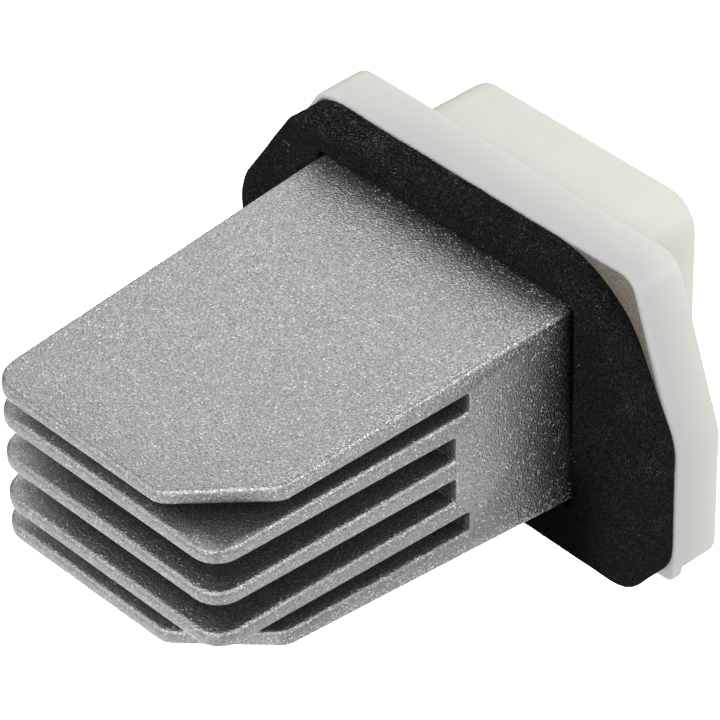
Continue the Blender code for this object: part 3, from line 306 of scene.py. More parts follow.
def from_bmesh(name, data, finish, **bevel):
    """Turns mesh data into a finished plain piece with its faces pointing outwards."""
    bmesh.ops.remove_doubles(data, verts=data.verts, dist=SAME_PLACE / 2)
    bmesh.ops.recalc_face_normals(data, faces=data.faces)
    mesh = bpy.data.meshes.new(name)
    data.to_mesh(mesh)
    data.free()
    mesh.materials.append(finish.material)
    return plain(bpy.data.objects.new(name, mesh), **bevel)


def settle(piece, slot, *nodes):
    """Sets a finished piece on the part, in the place of the nodes that it stands for."""
    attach(piece, "root")
    if nodes:
        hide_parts(*nodes)
    return piece


def dress(node, finish):
    """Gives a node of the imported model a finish."""
    piece = NODES[node]
    piece.data.materials.clear()
    piece.data.materials.append(finish.material)


def joined_facets(node, degrees=0.5):
    """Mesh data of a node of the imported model, with its flat facets joined."""
    data = bmesh.new()
    data.from_mesh(NODES[node].data)
    bmesh.ops.remove_doubles(data, verts=data.verts, dist=SAME_PLACE)
    bmesh.ops.dissolve_limit(data, angle_limit=math.radians(degrees), verts=data.verts, edges=data.edges)
    return data


def refined(node, ending, finish, slot, bevel, flat=0.5, corner=40.0, sharp=25.0):
    """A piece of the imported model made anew: its facets joined, its edges softened. The angles, in
    degrees, say up to where facets are flat, and from where edges are bevelled and shaded sharp."""
    piece = from_bmesh(node + ending, joined_facets(node, flat), finish, width=bevel, segments=3,
                       limit_method="ANGLE", angle_limit=math.radians(corner))
    return settle(smooth(piece, sharp), slot, node)


def rounded_outline(corners, steps):
    """Points of a convex outline whose corners are (x, z, radius), counter-clockwise."""
    points = []
    count = len(corners)
    for index, (x, z, radius) in enumerate(corners):
        corner = Vector((x, z))
        back = (Vector(corners[index - 1][:2]) - corner).normalized()
        ahead = (Vector(corners[(index + 1) % count][:2]) - corner).normalized()
        half = back.angle(ahead) / 2
        centre = corner + (back + ahead).normalized() * (radius / math.sin(half))
        start = corner + back * (radius / math.tan(half)) - centre
        first = math.atan2(start.y, start.x)
        for step in range(steps + 1):
            angle = first + (math.pi - 2 * half) * step / steps
            points.append(centre + radius * Vector((math.cos(angle), math.sin(angle))))
    return points


def reach(outline, angle):
    """Distance from the middle to an outline along a ray."""
    ray = Vector((math.cos(angle), math.sin(angle)))
    across = Vector((-ray.y, ray.x))
    best = 0.0
    for first, second in zip(outline, outline[1:] + outline[:1]):
        before, after = first.dot(across), second.dot(across)
        if before * after <= 0 and before != after:
            share = before / (before - after)
            best = max(best, (first + (second - first) * share).dot(ray))
    return best


# Sizes and colours that a user would change

def size(name, description, default):
    return FloatProperty(name=name, description=description, default=default, min=0.0,
                         unit="LENGTH", subtype="DISTANCE", precision=5)


def shade(name, description, default):
    return FloatVectorProperty(name=name, description=description, default=default, size=3,
                               min=0.0, max=1.0, subtype="COLOR")


def power(name, description, default):
    return FloatProperty(name=name, description=description, default=default, min=0.0, unit="POWER")


class CastingSizes(bpy.types.PropertyGroup):
    """Sizes of the cast heat sink."""

    root_width: size("Root width", "Width of the fins at the gasket face", 0.0403)
    tip_width: size("Tip width", "Width of the fins at the tip", 0.0367)
    middle_fin_root: size("Middle fin root", "Thickness of the middle fin at the gasket face", 0.0031)
    middle_fin_tip: size("Middle fin tip", "Thickness of the middle fin at the tip", 0.00195)
    inner_fin_root: size("Inner fin root", "Thickness of the fins beside it at the gasket face", 0.0029)
    inner_fin_tip: size("Inner fin tip", "Thickness of the fins beside it at the tip", 0.0020)
    outer_fin_root: size("Outer fin root", "Thickness of the outermost fins at the gasket face", 0.00365)
    outer_fin_tip: size("Outer fin tip", "Thickness of the outermost fins at the tip", 0.0019)
    inner_slot_root: size("Inner slot root", "Height of the inner slots at the gasket face", 0.00275)
    inner_slot_tip: size("Inner slot tip", "Height of the inner slots at the tip", 0.0038)
    outer_slot_root: size("Outer slot root", "Height of the outer slots at the gasket face", 0.00275)
    outer_slot_tip: size("Outer slot tip", "Height of the outer slots at the tip", 0.0020)
    inner_slot_end: size("Inner slot end", "Solid root ahead of the inner slots", 0.0166)
    outer_slot_end: size("Outer slot end", "Solid root ahead of the outer slots", 0.0146)
    left_round: size("Left corner round", "Radius of the fins' left tip corners", 0.0040)
    right_round: size("Right corner round", "Radius of the inner fins' right tip corners", 0.0034)
    cut_across: size("Cut across", "Cut on the right tip corner of the outermost fins, across them", 0.0088)
    cut_along: size("Cut along", "The same cut along the fins", 0.0098)
    cut_round: size("Cut round", "Radius of the corners at the ends of that cut", 0.0035)
    edge_round: size("Cast edge round", "Radius of the cast edges at the fin tips", 0.00062)
    grain: size("Blasting grain", "Size of the dimples that the blasting leaves", 0.00023)
    metal: shade("Metal", "Colour of the blasted aluminium", (0.52, 0.515, 0.505))


class GasketSizes(bpy.types.PropertyGroup):
    """Sizes and colours of the foam gasket and its bonding film."""

    edge_round: size("Foam edge round", "Radius of the foam's cut edges", 0.00040)
    hole_gap: size("Hole gap", "Gap between the casting and the hole in the foam", 0.00030)
    film_reach: size("Film reach", "How far the film runs up towards the flange's edge at the shoulder", 0.0005)
    waviness: size("Waviness", "Height of the foam's soft unevenness", 0.00007)
    specks: IntProperty(name="Specks", description="Dust specks per square metre of foam",
                        default=1900000, min=0)
    speck_size: size("Speck size", "Size of the largest dust specks", 0.00013)
    foam: shade("Foam", "Colour of the black foam", (0.0150, 0.0148, 0.0150))
    film: shade("Film", "Colour of the bonding film", (0.262, 0.231, 0.185))
    dust: shade("Dust", "Colour of the dust on the foam", (0.41, 0.365, 0.305))


class MouldingSizes(bpy.types.PropertyGroup):
    """Colours of the mouldings and how deep light goes into them."""

    flange: shade("Flange", "Colour of the white flange", (0.80, 0.795, 0.755))
    flange_edge: shade("Flange edge", "Colour of the flange at its thin front edge", (0.640, 0.646, 0.640))
    edge_depth: size("Edge depth", "How far behind the front edge the flange keeps changing its tone", 0.0070)
    cover: shade("Cover", "Colour of the cream cover", (0.880, 0.872, 0.797))
    # Painted light: a lighter tone just behind the flange and low on the cover's right side, offsetting the shade
    # there
    cover_edge: shade("Cover edge", "Colour of the cover close behind the flange", (0.935, 0.925, 0.855))
    glow_depth: size("Light depth", "How far light spreads inside the mouldings", 0.0018)
    soft_edge: size("Soft edge", "Bevel along the sharp edges of the mouldings", 0.00012)
    texture: size("Mould texture", "Size of the fine texture of the mould", 0.00022)


class FastenerSizes(bpy.types.PropertyGroup):
    """Sizes of the screws, and of the blades' bevels."""

    head: size("Head diameter", "Diameter of the screw heads", 0.0054)
    head_height: size("Head height", "Height of the screw heads", 0.0018)
    shank: size("Shank diameter", "Diameter of the screws over the thread", 0.0028)
    pitch: size("Thread pitch", "Distance between turns of the thread", 0.00055)
    recess_width: size("Recess width", "Width of the arms of the cross recess", 0.0007)
    recess_length: size("Recess length", "Length of the arms of the cross recess", 0.0028)
    recess_depth: size("Recess depth", "Depth of the cross recess", 0.0009)
    blade_bevel: size("Blade bevel", "Bevel along the edges of the connector's blades", 0.00012)


class StageSizes(bpy.types.PropertyGroup):
    """The floor, the lamps and the camera."""

    drop: size("Floor drop", "Height of the part above the floor", 0.40)
    floor_side: size("Floor side", "Side of the square floor", 6.0)
    floor: shade("Floor", "Colour of the floor", (0.93, 0.93, 0.93))
    sky: FloatProperty(name="Room light", description="Strength of the light from all round",
                       default=0.28, min=0.0)
    key: power("Key lamp", "Power of the large soft lamp", 2.2)
    fill: power("Fill lamp", "Power of the soft lamp beside the camera", 6.2)
    front: power("Front lamp", "Power of the soft lamp ahead of the fin tips", 2.0)
    rim: power("Rim lamp", "Power of the soft lamp behind the right side", 3.7)
    backdrop: power("Floor lamp", "Power of the lamp on the floor behind the part", 3.0)
    place: FloatVectorProperty(name="Camera place", description="Where the camera stands", size=3,
                               default=(0.334329, -0.317603, 0.357057), unit="LENGTH", subtype="XYZ")
    turn: FloatVectorProperty(name="Camera turn", description="How the camera is turned", size=3,
                              default=(0.9057915, 0.0144042, 0.8200768), unit="ROTATION", subtype="EULER")
    lens: FloatProperty(name="Lens", description="Focal length in millimetres", default=258.24, min=10.0)


def as_inputs(sizes, *without):
    """A group's sizes by their names in words, for the named inputs of a tree."""
    keys = [key for key in type(sizes).__annotations__ if key not in without]
    return {key.replace("_", " "): getattr(sizes, key) for key in keys}


# Finishes

def times(colour, share):
    """A colour made darker or lighter."""
    return [min(share * part, 1.0) for part in colour]


def blasted_aluminium(sizes):
    """Cast aluminium after blasting: pebbled skin with painted glints, dark pits and pale rub marks, and painted shade
    in the slots and beside the gasket.
    """
    metal = Finish("blasted_aluminium")
    step = metal.remap

    def spots(apart, shift, first, last):
        return step(metal.cells(sizes.grain * apart, place=metal.turned(shift=shift)), first, last)

    dimples = metal.grain(sizes.grain, 2.0, 0.6)
    pebbles = step(metal.cells(sizes.grain * 1.2), 0.0, 0.9)
    coarse = metal.grain(sizes.grain * 1.6, 2.0, 0.5)
    cloud = metal.grain(0.006, 3.0, 0.55)
    pit = spots(2.6, (0.13, 0.0, 0.07), 0.17, 0.05)
    # Painted glints and painted sparkle: small white spots, mostly matt, that stand for light caught by single grains
    painted_glint = spots(2.1, (0.41, 0.2, 0.3), 0.30, 0.17)
    painted_glint = painted_glint * metal.patches(0.0009, 0.43, 0.56, place=metal.turned(shift=(0.31, 0.17, 0.23)))
    painted_sparkle = spots(1.5, (0.7, 0.5, 0.1), 0.36, 0.20)

    # Rub marks: long faint strokes that cross at odd angles, broken by the dimples, in a few patches
    rubbed = None
    for turn, shift, wide in ((0.72, 0.11, 0.0011), (1.95, 0.43, 0.0016), (2.6, 0.77, 0.0013), (0.2, 0.9, 0.0021)):
        lie = metal.turned(scale=(1.0, 0.045, 1.0), rotation=(0.0, 0.0, turn), shift=(shift, shift, 0.0))
        line = step(abs(metal.grain(wide, 3.0, 0.5, lie) - 0.5), 0.014, 0.0)
        line = line * metal.patches(0.0065, 0.56, 0.66, place=metal.turned(shift=(shift, 0.021, 0.0)))
        rubbed = rubbed.at_least(line) if rubbed else line

    # Deep in the slots the colour is painted shade, dark grey with a faint pale speckle, less metallic and a little
    # smoother; rub marks stay off the inner faces
    across, along, up = metal.axis("X"), metal.axis("Y"), metal.axis("Z")
    half = sizes.root_width / 2 + along * ((sizes.root_width - sizes.tip_width) / 2 / -SINK_LOW.y)
    face = sizes.middle_fin_root / 2 + sizes.inner_slot_root + sizes.inner_fin_root + sizes.outer_slot_root
    fin = sizes.outer_fin_root
    from_right = half - across
    inside = abs(up).below(face + fin * 0.4 + along * FIN_FLARE)
    edge_highlight_band = step(from_right, 0.0021, 0.0008) * abs(up).above(face + fin * 0.6 + along * FIN_FLARE)
    slot_shade = step((along - SINK_LOW.y).at_most(half + across), 0.0002, 0.0032)
    slot_shade = slot_shade.at_most(step(from_right, 0.0003, 0.0011)) * inside
    rubbed = rubbed * step(dimples, 0.40, 0.60) * (1 - inside)

    # On the top fin's upper face the painted glints stay metallic towards the tip and are matt white elsewhere, and
    # near the gasket more painted sparkle is spread; the sides get painted shade towards the gasket and, on the right,
    # towards the bottom, with a near black painted shadow close beside the gasket
    crown = abs(up).above(face + fin - 0.0004 + along * FIN_FLARE)
    topside = step(along, -0.020, -0.032) * crown
    near = step(along, -0.020, -0.003) * crown
    beside = step(half - abs(across), 0.0007, 0.0003)
    gap = step(along, -0.0030, 0.0004) * step(up, -0.016, 0.004) * beside
    side_shade = step(along, -0.0125, 0.0005) * beside
    under = step(up, -0.001, -0.011) * step(from_right, 0.0007, 0.0003)
    # Painted sparkle is spread as a painted highlight band along the top right edge, faintly deep in the slots, and on
    # the top near the gasket
    painted_sparkle = painted_sparkle * (edge_highlight_band * 0.9).at_least(slot_shade * 0.26).at_least(near * 0.5)
    painted_glint = (painted_glint * (1 - slot_shade * 0.75)).at_least(painted_sparkle) * (1 - gap)

    # Painted shade: the dark grey layers deep in the slots, on the sides towards the gasket and the bottom, and the
    # near black strip beside the gasket; the white layer is painted glints together with pale rub marks
    metal.paint(
        times(sizes.metal, 0.68),
        (step(dimples, 0.30, 0.70), times(sizes.metal, 1.28)),
        (step(cloud, 0.35, 0.65) * 0.14, times(sizes.metal, 0.86)),
        (pit * 0.55, (0.14, 0.135, 0.13)),
        (slot_shade * 0.82, (0.09, 0.09, 0.091)),
        (slot_shade * step(dimples, 0.56, 0.72) * 0.35, (0.50, 0.50, 0.50)),
        ((side_shade * 0.46).at_least(under * 0.28).at_least(gap * 0.90), (0.05, 0.05, 0.05)),
        ((painted_glint + rubbed * 0.6).at_most(1.0), (0.97, 0.97, 0.96)),
    )
    metal.give(metallic=1 - (painted_glint * 0.8 * (1 - topside)).at_least(slot_shade * 0.18).at_least(near * 0.05),
               roughness=0.44 - dimples * 0.14 - painted_glint * 0.12 + rubbed * 0.1 - slot_shade * 0.06)
    metal.bump((pebbles, 0.00004), (coarse, 0.00004), (dimples, 0.00007))
    return metal


def black_foam(sizes):
    """Closed-cell foam: tiny cells, a few larger pores, greyish scuffs, the punched plugs, and a painted shadow below
    the casting.
    """
    foam = Finish("black_foam", specular_ior_level=0.01)
    step = foam.remap
    cells = foam.cells(0.00030)
    pores = step(foam.cells(0.0016), 0.11, 0.04)
    fine = foam.grain(0.00022, 2.0, 0.6)
    nap = foam.patches(0.00030, 0.52, 0.72, 1.0, 0.5, foam.turned(shift=(0.2, 0.4, 0.1)))
    drift = foam.grain(0.0045, 4.0, 0.65)
    height = step(cells, 0.1, 0.75) * (1 - pores)
    mark = None
    for x, z in HOLES:
        groove = step(abs(foam.distance((x, 0.0, z), (1.0, 0.0, 1.0)) - 0.0020), 0.00028, 0.00008)
        mark = mark.at_least(groove) if mark else groove
    mark = mark * step(foam.axis("Y"), 0.0009, 0.0004) * foam.patches(0.0022, 0.40, 0.60, roughness=0.5)

    # Dust gathers on the upper band and along the outer rim, less of it lower down; below the casting the foam gets a
    # near black painted shadow
    across, up = foam.axis("X"), foam.axis("Z")
    band = step(up, 0.0142, 0.0170) * step(across, 0.022, 0.010) * 0.55
    rim = step(across + up * 0.35, 0.0240, 0.0300) * 0.40
    corner = step(up, 0.0152, 0.0182) * step(across, 0.0080, -0.0210) * step(fine, 0.56, 0.72)
    where = band.at_least(rim).at_least(step(up, -0.016, 0.012) * 0.16)
    dust = (step(drift, 0.47, 0.68) * step(fine, 0.50, 0.72) * where).at_least(corner * 0.62)
    below = step(up, -0.003, -0.0125) * step(across, 0.029, 0.020)

    foam.paint(
        times(sizes.foam, 0.45),
        (step(fine, 0.35, 0.7), times(sizes.foam, 1.6)),
        (nap * 0.20, (0.09, 0.09, 0.09)),
        (dust * 0.55, sizes.dust),
        # Near black: the cut lines of the punched plugs, and the painted shadow below the casting
        ((mark * 0.45).at_least(below * 0.9), (0.0015, 0.0015, 0.0015)),
    )
    foam.give(roughness=0.93 - nap * 0.2)
    foam.bump((foam.grain(0.0011, 3.0, 0.55), 0.00014), (height, 0.00010), (1 - mark, 0.0002))
    return foam


def bonding_film(sizes):
    """Grey-brown film with a fine woven carrier, mottled by the adhesive under it."""
    film = Finish("bonding_film", specular_ior_level=0.35)
    mottle = film.patches(0.0007, 0.35, 0.68, 3.0, 0.65)
    fine = film.grain(0.00024, 2.0, 0.6)
    lie = film.turned(scale=(1.0, 1.0, 0.12), rotation=(0.0, 0.5, 0.0))
    threads = film.patches(0.0003, 0.62, 0.75, 1.0, 0.4, lie)
    film.paint(
        times(sizes.film, 0.88),
        (mottle, times(sizes.film, 1.14)),
        (film.remap(fine, 0.52, 0.68) * 0.55, (0.46, 0.42, 0.36)),
        (film.remap(fine, 0.46, 0.32) * 0.60, (0.09, 0.078, 0.062)),
        (threads * 0.35, (0.10, 0.085, 0.07)),
    )
    film.give(roughness=0.45 + fine * 0.3)
    film.bump((fine, 0.00003))
    return film


def moulded_nylon(name, colour, warm, sizes, streaks, other, where):
    """Unfilled nylon: light goes in a little way, with faint flow lines, clouds and mould texture.

    In places it takes another tone: on the flange a darker, greyer tone towards its front edge, on the cover a painted
    lighter tone that offsets the shade behind the flange; where(nylon) gives how much of it."""
    nylon = Finish(name, subsurface_weight=1.0, subsurface_radius=(1.0, 0.96, 0.86),
                   subsurface_scale=sizes.glow_depth, specular_ior_level=0.42)
    cloud = nylon.grain(0.011, 3.0, 0.5)
    flow = nylon.grain(0.0034, 2.0, 0.5, nylon.turned(scale=streaks), 0.6)
    fine = nylon.grain(sizes.texture, 2.0, 0.5)
    lie = nylon.turned(scale=(1.0, 0.05, 0.6), rotation=(0.2, 0.1, 0.8))
    scratch = nylon.patches(0.00025, 0.70, 0.80, 1.0, 0.4, lie)
    nylon.paint(
        colour,
        (nylon.remap(cloud, 0.35, 0.65) * 0.5, warm),
        (nylon.remap(flow, 0.45, 0.75) * 0.22, times(colour, 1.06)),
        (where(nylon), other),
        (scratch * 0.12, (0.9, 0.9, 0.9)),
    )
    nylon.give(roughness=0.36 + fine * 0.14 + scratch * 0.1)
    nylon.bump((cloud, 0.00006), (fine, 0.000006))
    return nylon


def board_laminate():
    """Glass laminate under green lacquer, with paler tracks and the weave showing through."""
    board = Finish("board_laminate", coat_weight=0.3, coat_roughness=0.2)
    cloth = board.bands("X", 800.0, 0.6) * board.bands("Z", 800.0, 0.6)
    tracks = board.remap(board.cells(0.0042, "DISTANCE_TO_EDGE"), 0.07, 0.11)
    board.paint((0.05, 0.21, 0.09), (tracks, (0.020, 0.115, 0.045)), (cloth * 0.25, (0.09, 0.24, 0.11)))
    board.give(roughness=0.42 + board.grain(0.0004) * 0.2)
    board.bump((1 - tracks, 0.00003), (cloth, 0.000008))
    return board


def tinned_metal(name, colour, rub):
    """Rolled and plated sheet: drawn lines along the strip, cloudy plating, a few rubbed spots."""
    metal = Finish(name, metallic=1.0)
    lines = metal.grain(0.00012, 2.0, 0.5, metal.turned(scale=(1.0, 0.04, 1.0)))
    cloud = metal.grain(0.0016, 3.0, 0.6)
    spots = metal.patches(0.0007, 0.62, 0.74)
    metal.paint(
        times(colour, 0.82),
        (metal.remap(cloud, 0.35, 0.65), colour),
        (metal.remap(lines, 0.4, 0.7) * 0.25, times(colour, 0.7)),
        (spots * 0.6, rub),
    )
    metal.give(roughness=0.22 + cloud * 0.16 + lines * 0.08)
    metal.bump((lines, 0.000006))
    return metal


def zinc_steel():
    """Zinc-plated steel with a fine crystal bloom and darker hollows."""
    zinc = Finish("zinc_steel", metallic=1.0)
    bloom = zinc.cells(0.00035)
    cloud = zinc.grain(0.0009, 3.0, 0.6)
    zinc.paint((0.62, 0.63, 0.66), (zinc.remap(bloom, 0.1, 0.7), (0.46, 0.47, 0.49)),
               (zinc.remap(cloud, 0.5, 0.75) * 0.4, (0.70, 0.64, 0.50)))
    zinc.give(roughness=0.26 + cloud * 0.2)
    zinc.bump((bloom, 0.000008))
    return zinc


def moulded_epoxy():
    """Black filled epoxy: matt, with a fine sparkle of filler and a few pale rub marks."""
    epoxy = Finish("moulded_epoxy", specular_ior_level=0.4)
    fine = epoxy.grain(0.00009, 2.0, 0.6)
    cloud = epoxy.grain(0.0014, 3.0, 0.5)
    rub = epoxy.patches(0.0005, 0.62, 0.76)
    epoxy.paint((0.010, 0.010, 0.011), (cloud, (0.026, 0.026, 0.028)), (rub * 0.35, (0.07, 0.07, 0.072)))
    epoxy.give(roughness=0.42 + fine * 0.3)
    epoxy.bump((fine, 0.000012))
    return epoxy


def silicone_pad():
    """Grey filled silicone over glass cloth."""
    pad = Finish("silicone_pad", specular_ior_level=0.25)
    weave = pad.bands("X", 600.0)
    fine = pad.grain(0.0002, 2.0, 0.6)
    pad.paint((0.26, 0.28, 0.29), (fine * weave, (0.42, 0.44, 0.45)))
    pad.give(roughness=0.62 + fine * 0.25)
    pad.bump((weave * pad.bands("Z", 600.0), 0.00002))
    return pad


def can_sleeve(low, high):
    """The capacitor's can: shrunk dark blue sleeve with a pale stripe, bare aluminium at the end."""
    sleeve = Finish("can_sleeve", coat_weight=0.4, coat_roughness=0.25)
    middle = (low + high) / 2
    stripe = sleeve.remap(abs(sleeve.axis("Z") - middle.z), 0.0009, 0.0007)
    stripe = stripe * (sleeve.axis("X") - middle.x).below(0.0)
    bare = sleeve.axis("Y").above(high.y - 0.00012)
    fine = sleeve.grain(0.00025, 2.0, 0.6)
    sleeve.paint((0.012, 0.018, 0.055), (stripe, (0.55, 0.57, 0.60)), (bare, (0.72, 0.72, 0.72)),
                 (fine * 0.12, (0.2, 0.2, 0.24)))
    sleeve.give(metallic=bare * 0.9, roughness=0.30 + fine * 0.15)
    sleeve.bump((fine, 0.000008))
    return sleeve


def chip_body(name, body, low, high):
    """A small chip component: its coloured body between tinned end caps."""
    chip = Finish(name)
    half = (high.x - low.x) / 2
    cap = chip.remap(abs(chip.axis("X") - (low.x + high.x) / 2), half * 0.64, half * 0.70)
    fine = chip.grain(0.00012, 2.0, 0.6)
    chip.paint(body, (fine, times(body, 1.5)), (cap, (0.72, 0.71, 0.68)))
    chip.give(metallic=cap, roughness=0.36 + fine * 0.2)
    chip.bump((fine, 0.00001))
    return chip


def dust_finish(sizes):
    """Pale dust and fibres, each a slightly different tone."""
    dust = Finish("dust", specular_ior_level=0.2)
    tone = dust.grain(0.0021, 1.0, 0.5)
    dust.paint(sizes.dust, (dust.remap(tone, 0.35, 0.65), (0.62, 0.60, 0.56)))
    dust.give(roughness=0.75 + tone * 0.2)
    return dust


def pale_floor(colour):
    """A plain matt backdrop with hardly any grain."""
    floor = Finish("pale_floor", specular_ior_level=0.1)
    fine = floor.grain(0.012, 2.0, 0.5)
    floor.paint(colour, (fine * 0.04, (0.88, 0.88, 0.88)))
    floor.give(roughness=0.9 + fine * 0.05)
    return floor


# Pieces

def cast_fins(sizes):
    """The whole casting: one tapered block, less the four slots and the cut corners of the outer fins."""
    cast = Growth("cast_fins", {"length": -SINK_LOW.y, "rear": SINK_HIGH.y,
                                **as_inputs(sizes, "edge_round", "grain", "metal")})
    given = cast.given
    tip, rear = -given["length"], given["rear"]
    clear, beyond = 0.005, 0.04  # how far cutters reach past the casting, and half their width

    def levels(end):
        """Heights over the middle plane, at the root or the tip: each face of the upper fins in
        turn, then the middle of the outer slot, then a place clear of the casting."""
        found = [given["middle fin " + end] / 2]
        for part in ("inner slot ", "inner fin ", "outer slot ", "outer fin "):
            found.append(found[-1] + given[part + end])
        return [*found, (found[2] + found[3]) / 2, found[4] + clear]

    def half_width(y):
        root = given["root width"]
        return (root + (given["tip width"] - root) * (-y / given["length"])) / 2

    def plan(*corners):
        """A closed outline through corners (x, y, round)."""
        number = cast.add("GeometryNodeInputIndex")
        place = cast.chosen("VECTOR", number, [cast.vector(x, y) for x, y, radius in corners])
        radius = cast.chosen("FLOAT", number, [corner[2] for corner in corners])
        points = cast.add("GeometryNodePoints", {"Count": len(corners), "Position": place})
        line = cast.add("GeometryNodePointsToCurves", {"Points": points})
        loop = cast.add("GeometryNodeSetSplineCyclic", {"Geometry": line, "Cyclic": True})
        return cast.add("GeometryNodeFilletCurve",
                        {"Curve": loop, "Radius": radius, "Count": 7, "Limit Radius": False}, mode="POLY")

    def between(shape, low, high):
        """Stretches a flat plan between two levels that are given by their numbers, below or above."""
        start = math.copysign(abs(low) + 1, low)
        end = math.copysign(abs(high) + 1, high)
        return cast.moved(cast.slab(shape), place=(0.0, 0.0, start), scale=(1.0, 1.0, end - start))

    wide, narrow, cut = half_width(rear), half_width(tip), tip + given["cut along"]
    block = between(plan((-wide, rear, 0.0), (-narrow, tip, given["left round"]),
                         (narrow, tip, given["right round"]), (wide, rear, 0.0)), -4.0, 4.0)

    def slot(end):
        return plan((-beyond, tip - clear, 0.0), (beyond, tip - clear, 0.0), (beyond, -end, 0.0),
                    (-beyond, -end, 0.0))

    # The cutter's sides lean out a little from the fin's own, so that its rounded ends run out cleanly
    corner = plan((narrow - given["cut across"] - 0.0100, tip - 0.0006, 0.0),
                  (narrow - given["cut across"], tip, given["cut round"]),
                  (half_width(cut), cut, given["cut round"]),
                  (half_width(cut) + 0.0010, cut + 0.0100, 0.0), (narrow + clear, tip - clear, 0.0))
    cutters = []
    for shape, low, high in ((slot(given["inner slot end"]), 0.0, 1.0), (slot(given["outer slot end"]), 2.0, 3.0),
                             (corner, 5.0, 6.0)):
        cutters += [between(shape, low, high), between(shape, -high, -low)]

    # Turns the levels' numbers into the heights that they have at each place along the fins
    x, y, height = cast.coordinates()
    share = -y / given["length"]
    root, end = [cast.chosen("FLOAT", abs(height) - 0.75, levels(end)) for end in ("root", "tip")]
    lifted = cast.vector(x, y, (root * (1 - share) + end * share) * (height.above(0.0) * 2 - 1))

    def tapered(shape):
        return cast.add("GeometryNodeSetPosition", {"Geometry": shape, "Position": lifted})

    return cast, cast.less(tapered(block), [tapered(shape) for shape in cutters])


class RESISTOR_OT_heat_sink(bpy.types.Operator):
    """Cast the heat sink with its five fins and give it the blasted finish"""

    bl_idname = "resistor.heat_sink"
    bl_label = "Heat sink"

    def execute(self, context):
        sizes = context.scene.resistor_casting
        metal = blasted_aluminium(sizes)
        cast, whole = cast_fins(sizes)
        sink = cast.grow("cast_heat_sink", whole, metal)
        self.weigh_edges(sink.data)
        sink = plain(sink, width=sizes.edge_round, segments=4, limit_method="WEIGHT", miter_outer="MITER_ARC")
        settle(smooth(sink, 40), "sink_metal", "heat_sink")
        return {"FINISHED"}

    def weigh_edges(self, mesh):
        """Tells the bevel how soft each edge is: full round the fins, crisp at the ends of the slots."""
        flat, crisp, soft = math.radians(32), 0.25, 0.90
        data = bmesh.new()
        data.from_mesh(mesh)
        weight = data.edges.layers.float.new("bevel_weight_edge")
        for edge in data.edges:
            if edge.calc_face_angle(0.0) < flat:
                continue
            first, second = (vert.co for vert in edge.verts)
            upright = abs(first.z - second.z) > (first - second).length * 0.9
            if upright or not edge.is_convex or first.y > 0 and second.y > 0:
                edge[weight] = crisp
            else:
                wall = min(edge.link_faces, key=lambda face: abs(face.normal.z))
                edge[weight] = soft + 0.10 * abs(wall.normal.y)
        data.to_mesh(mesh)
        data.free()


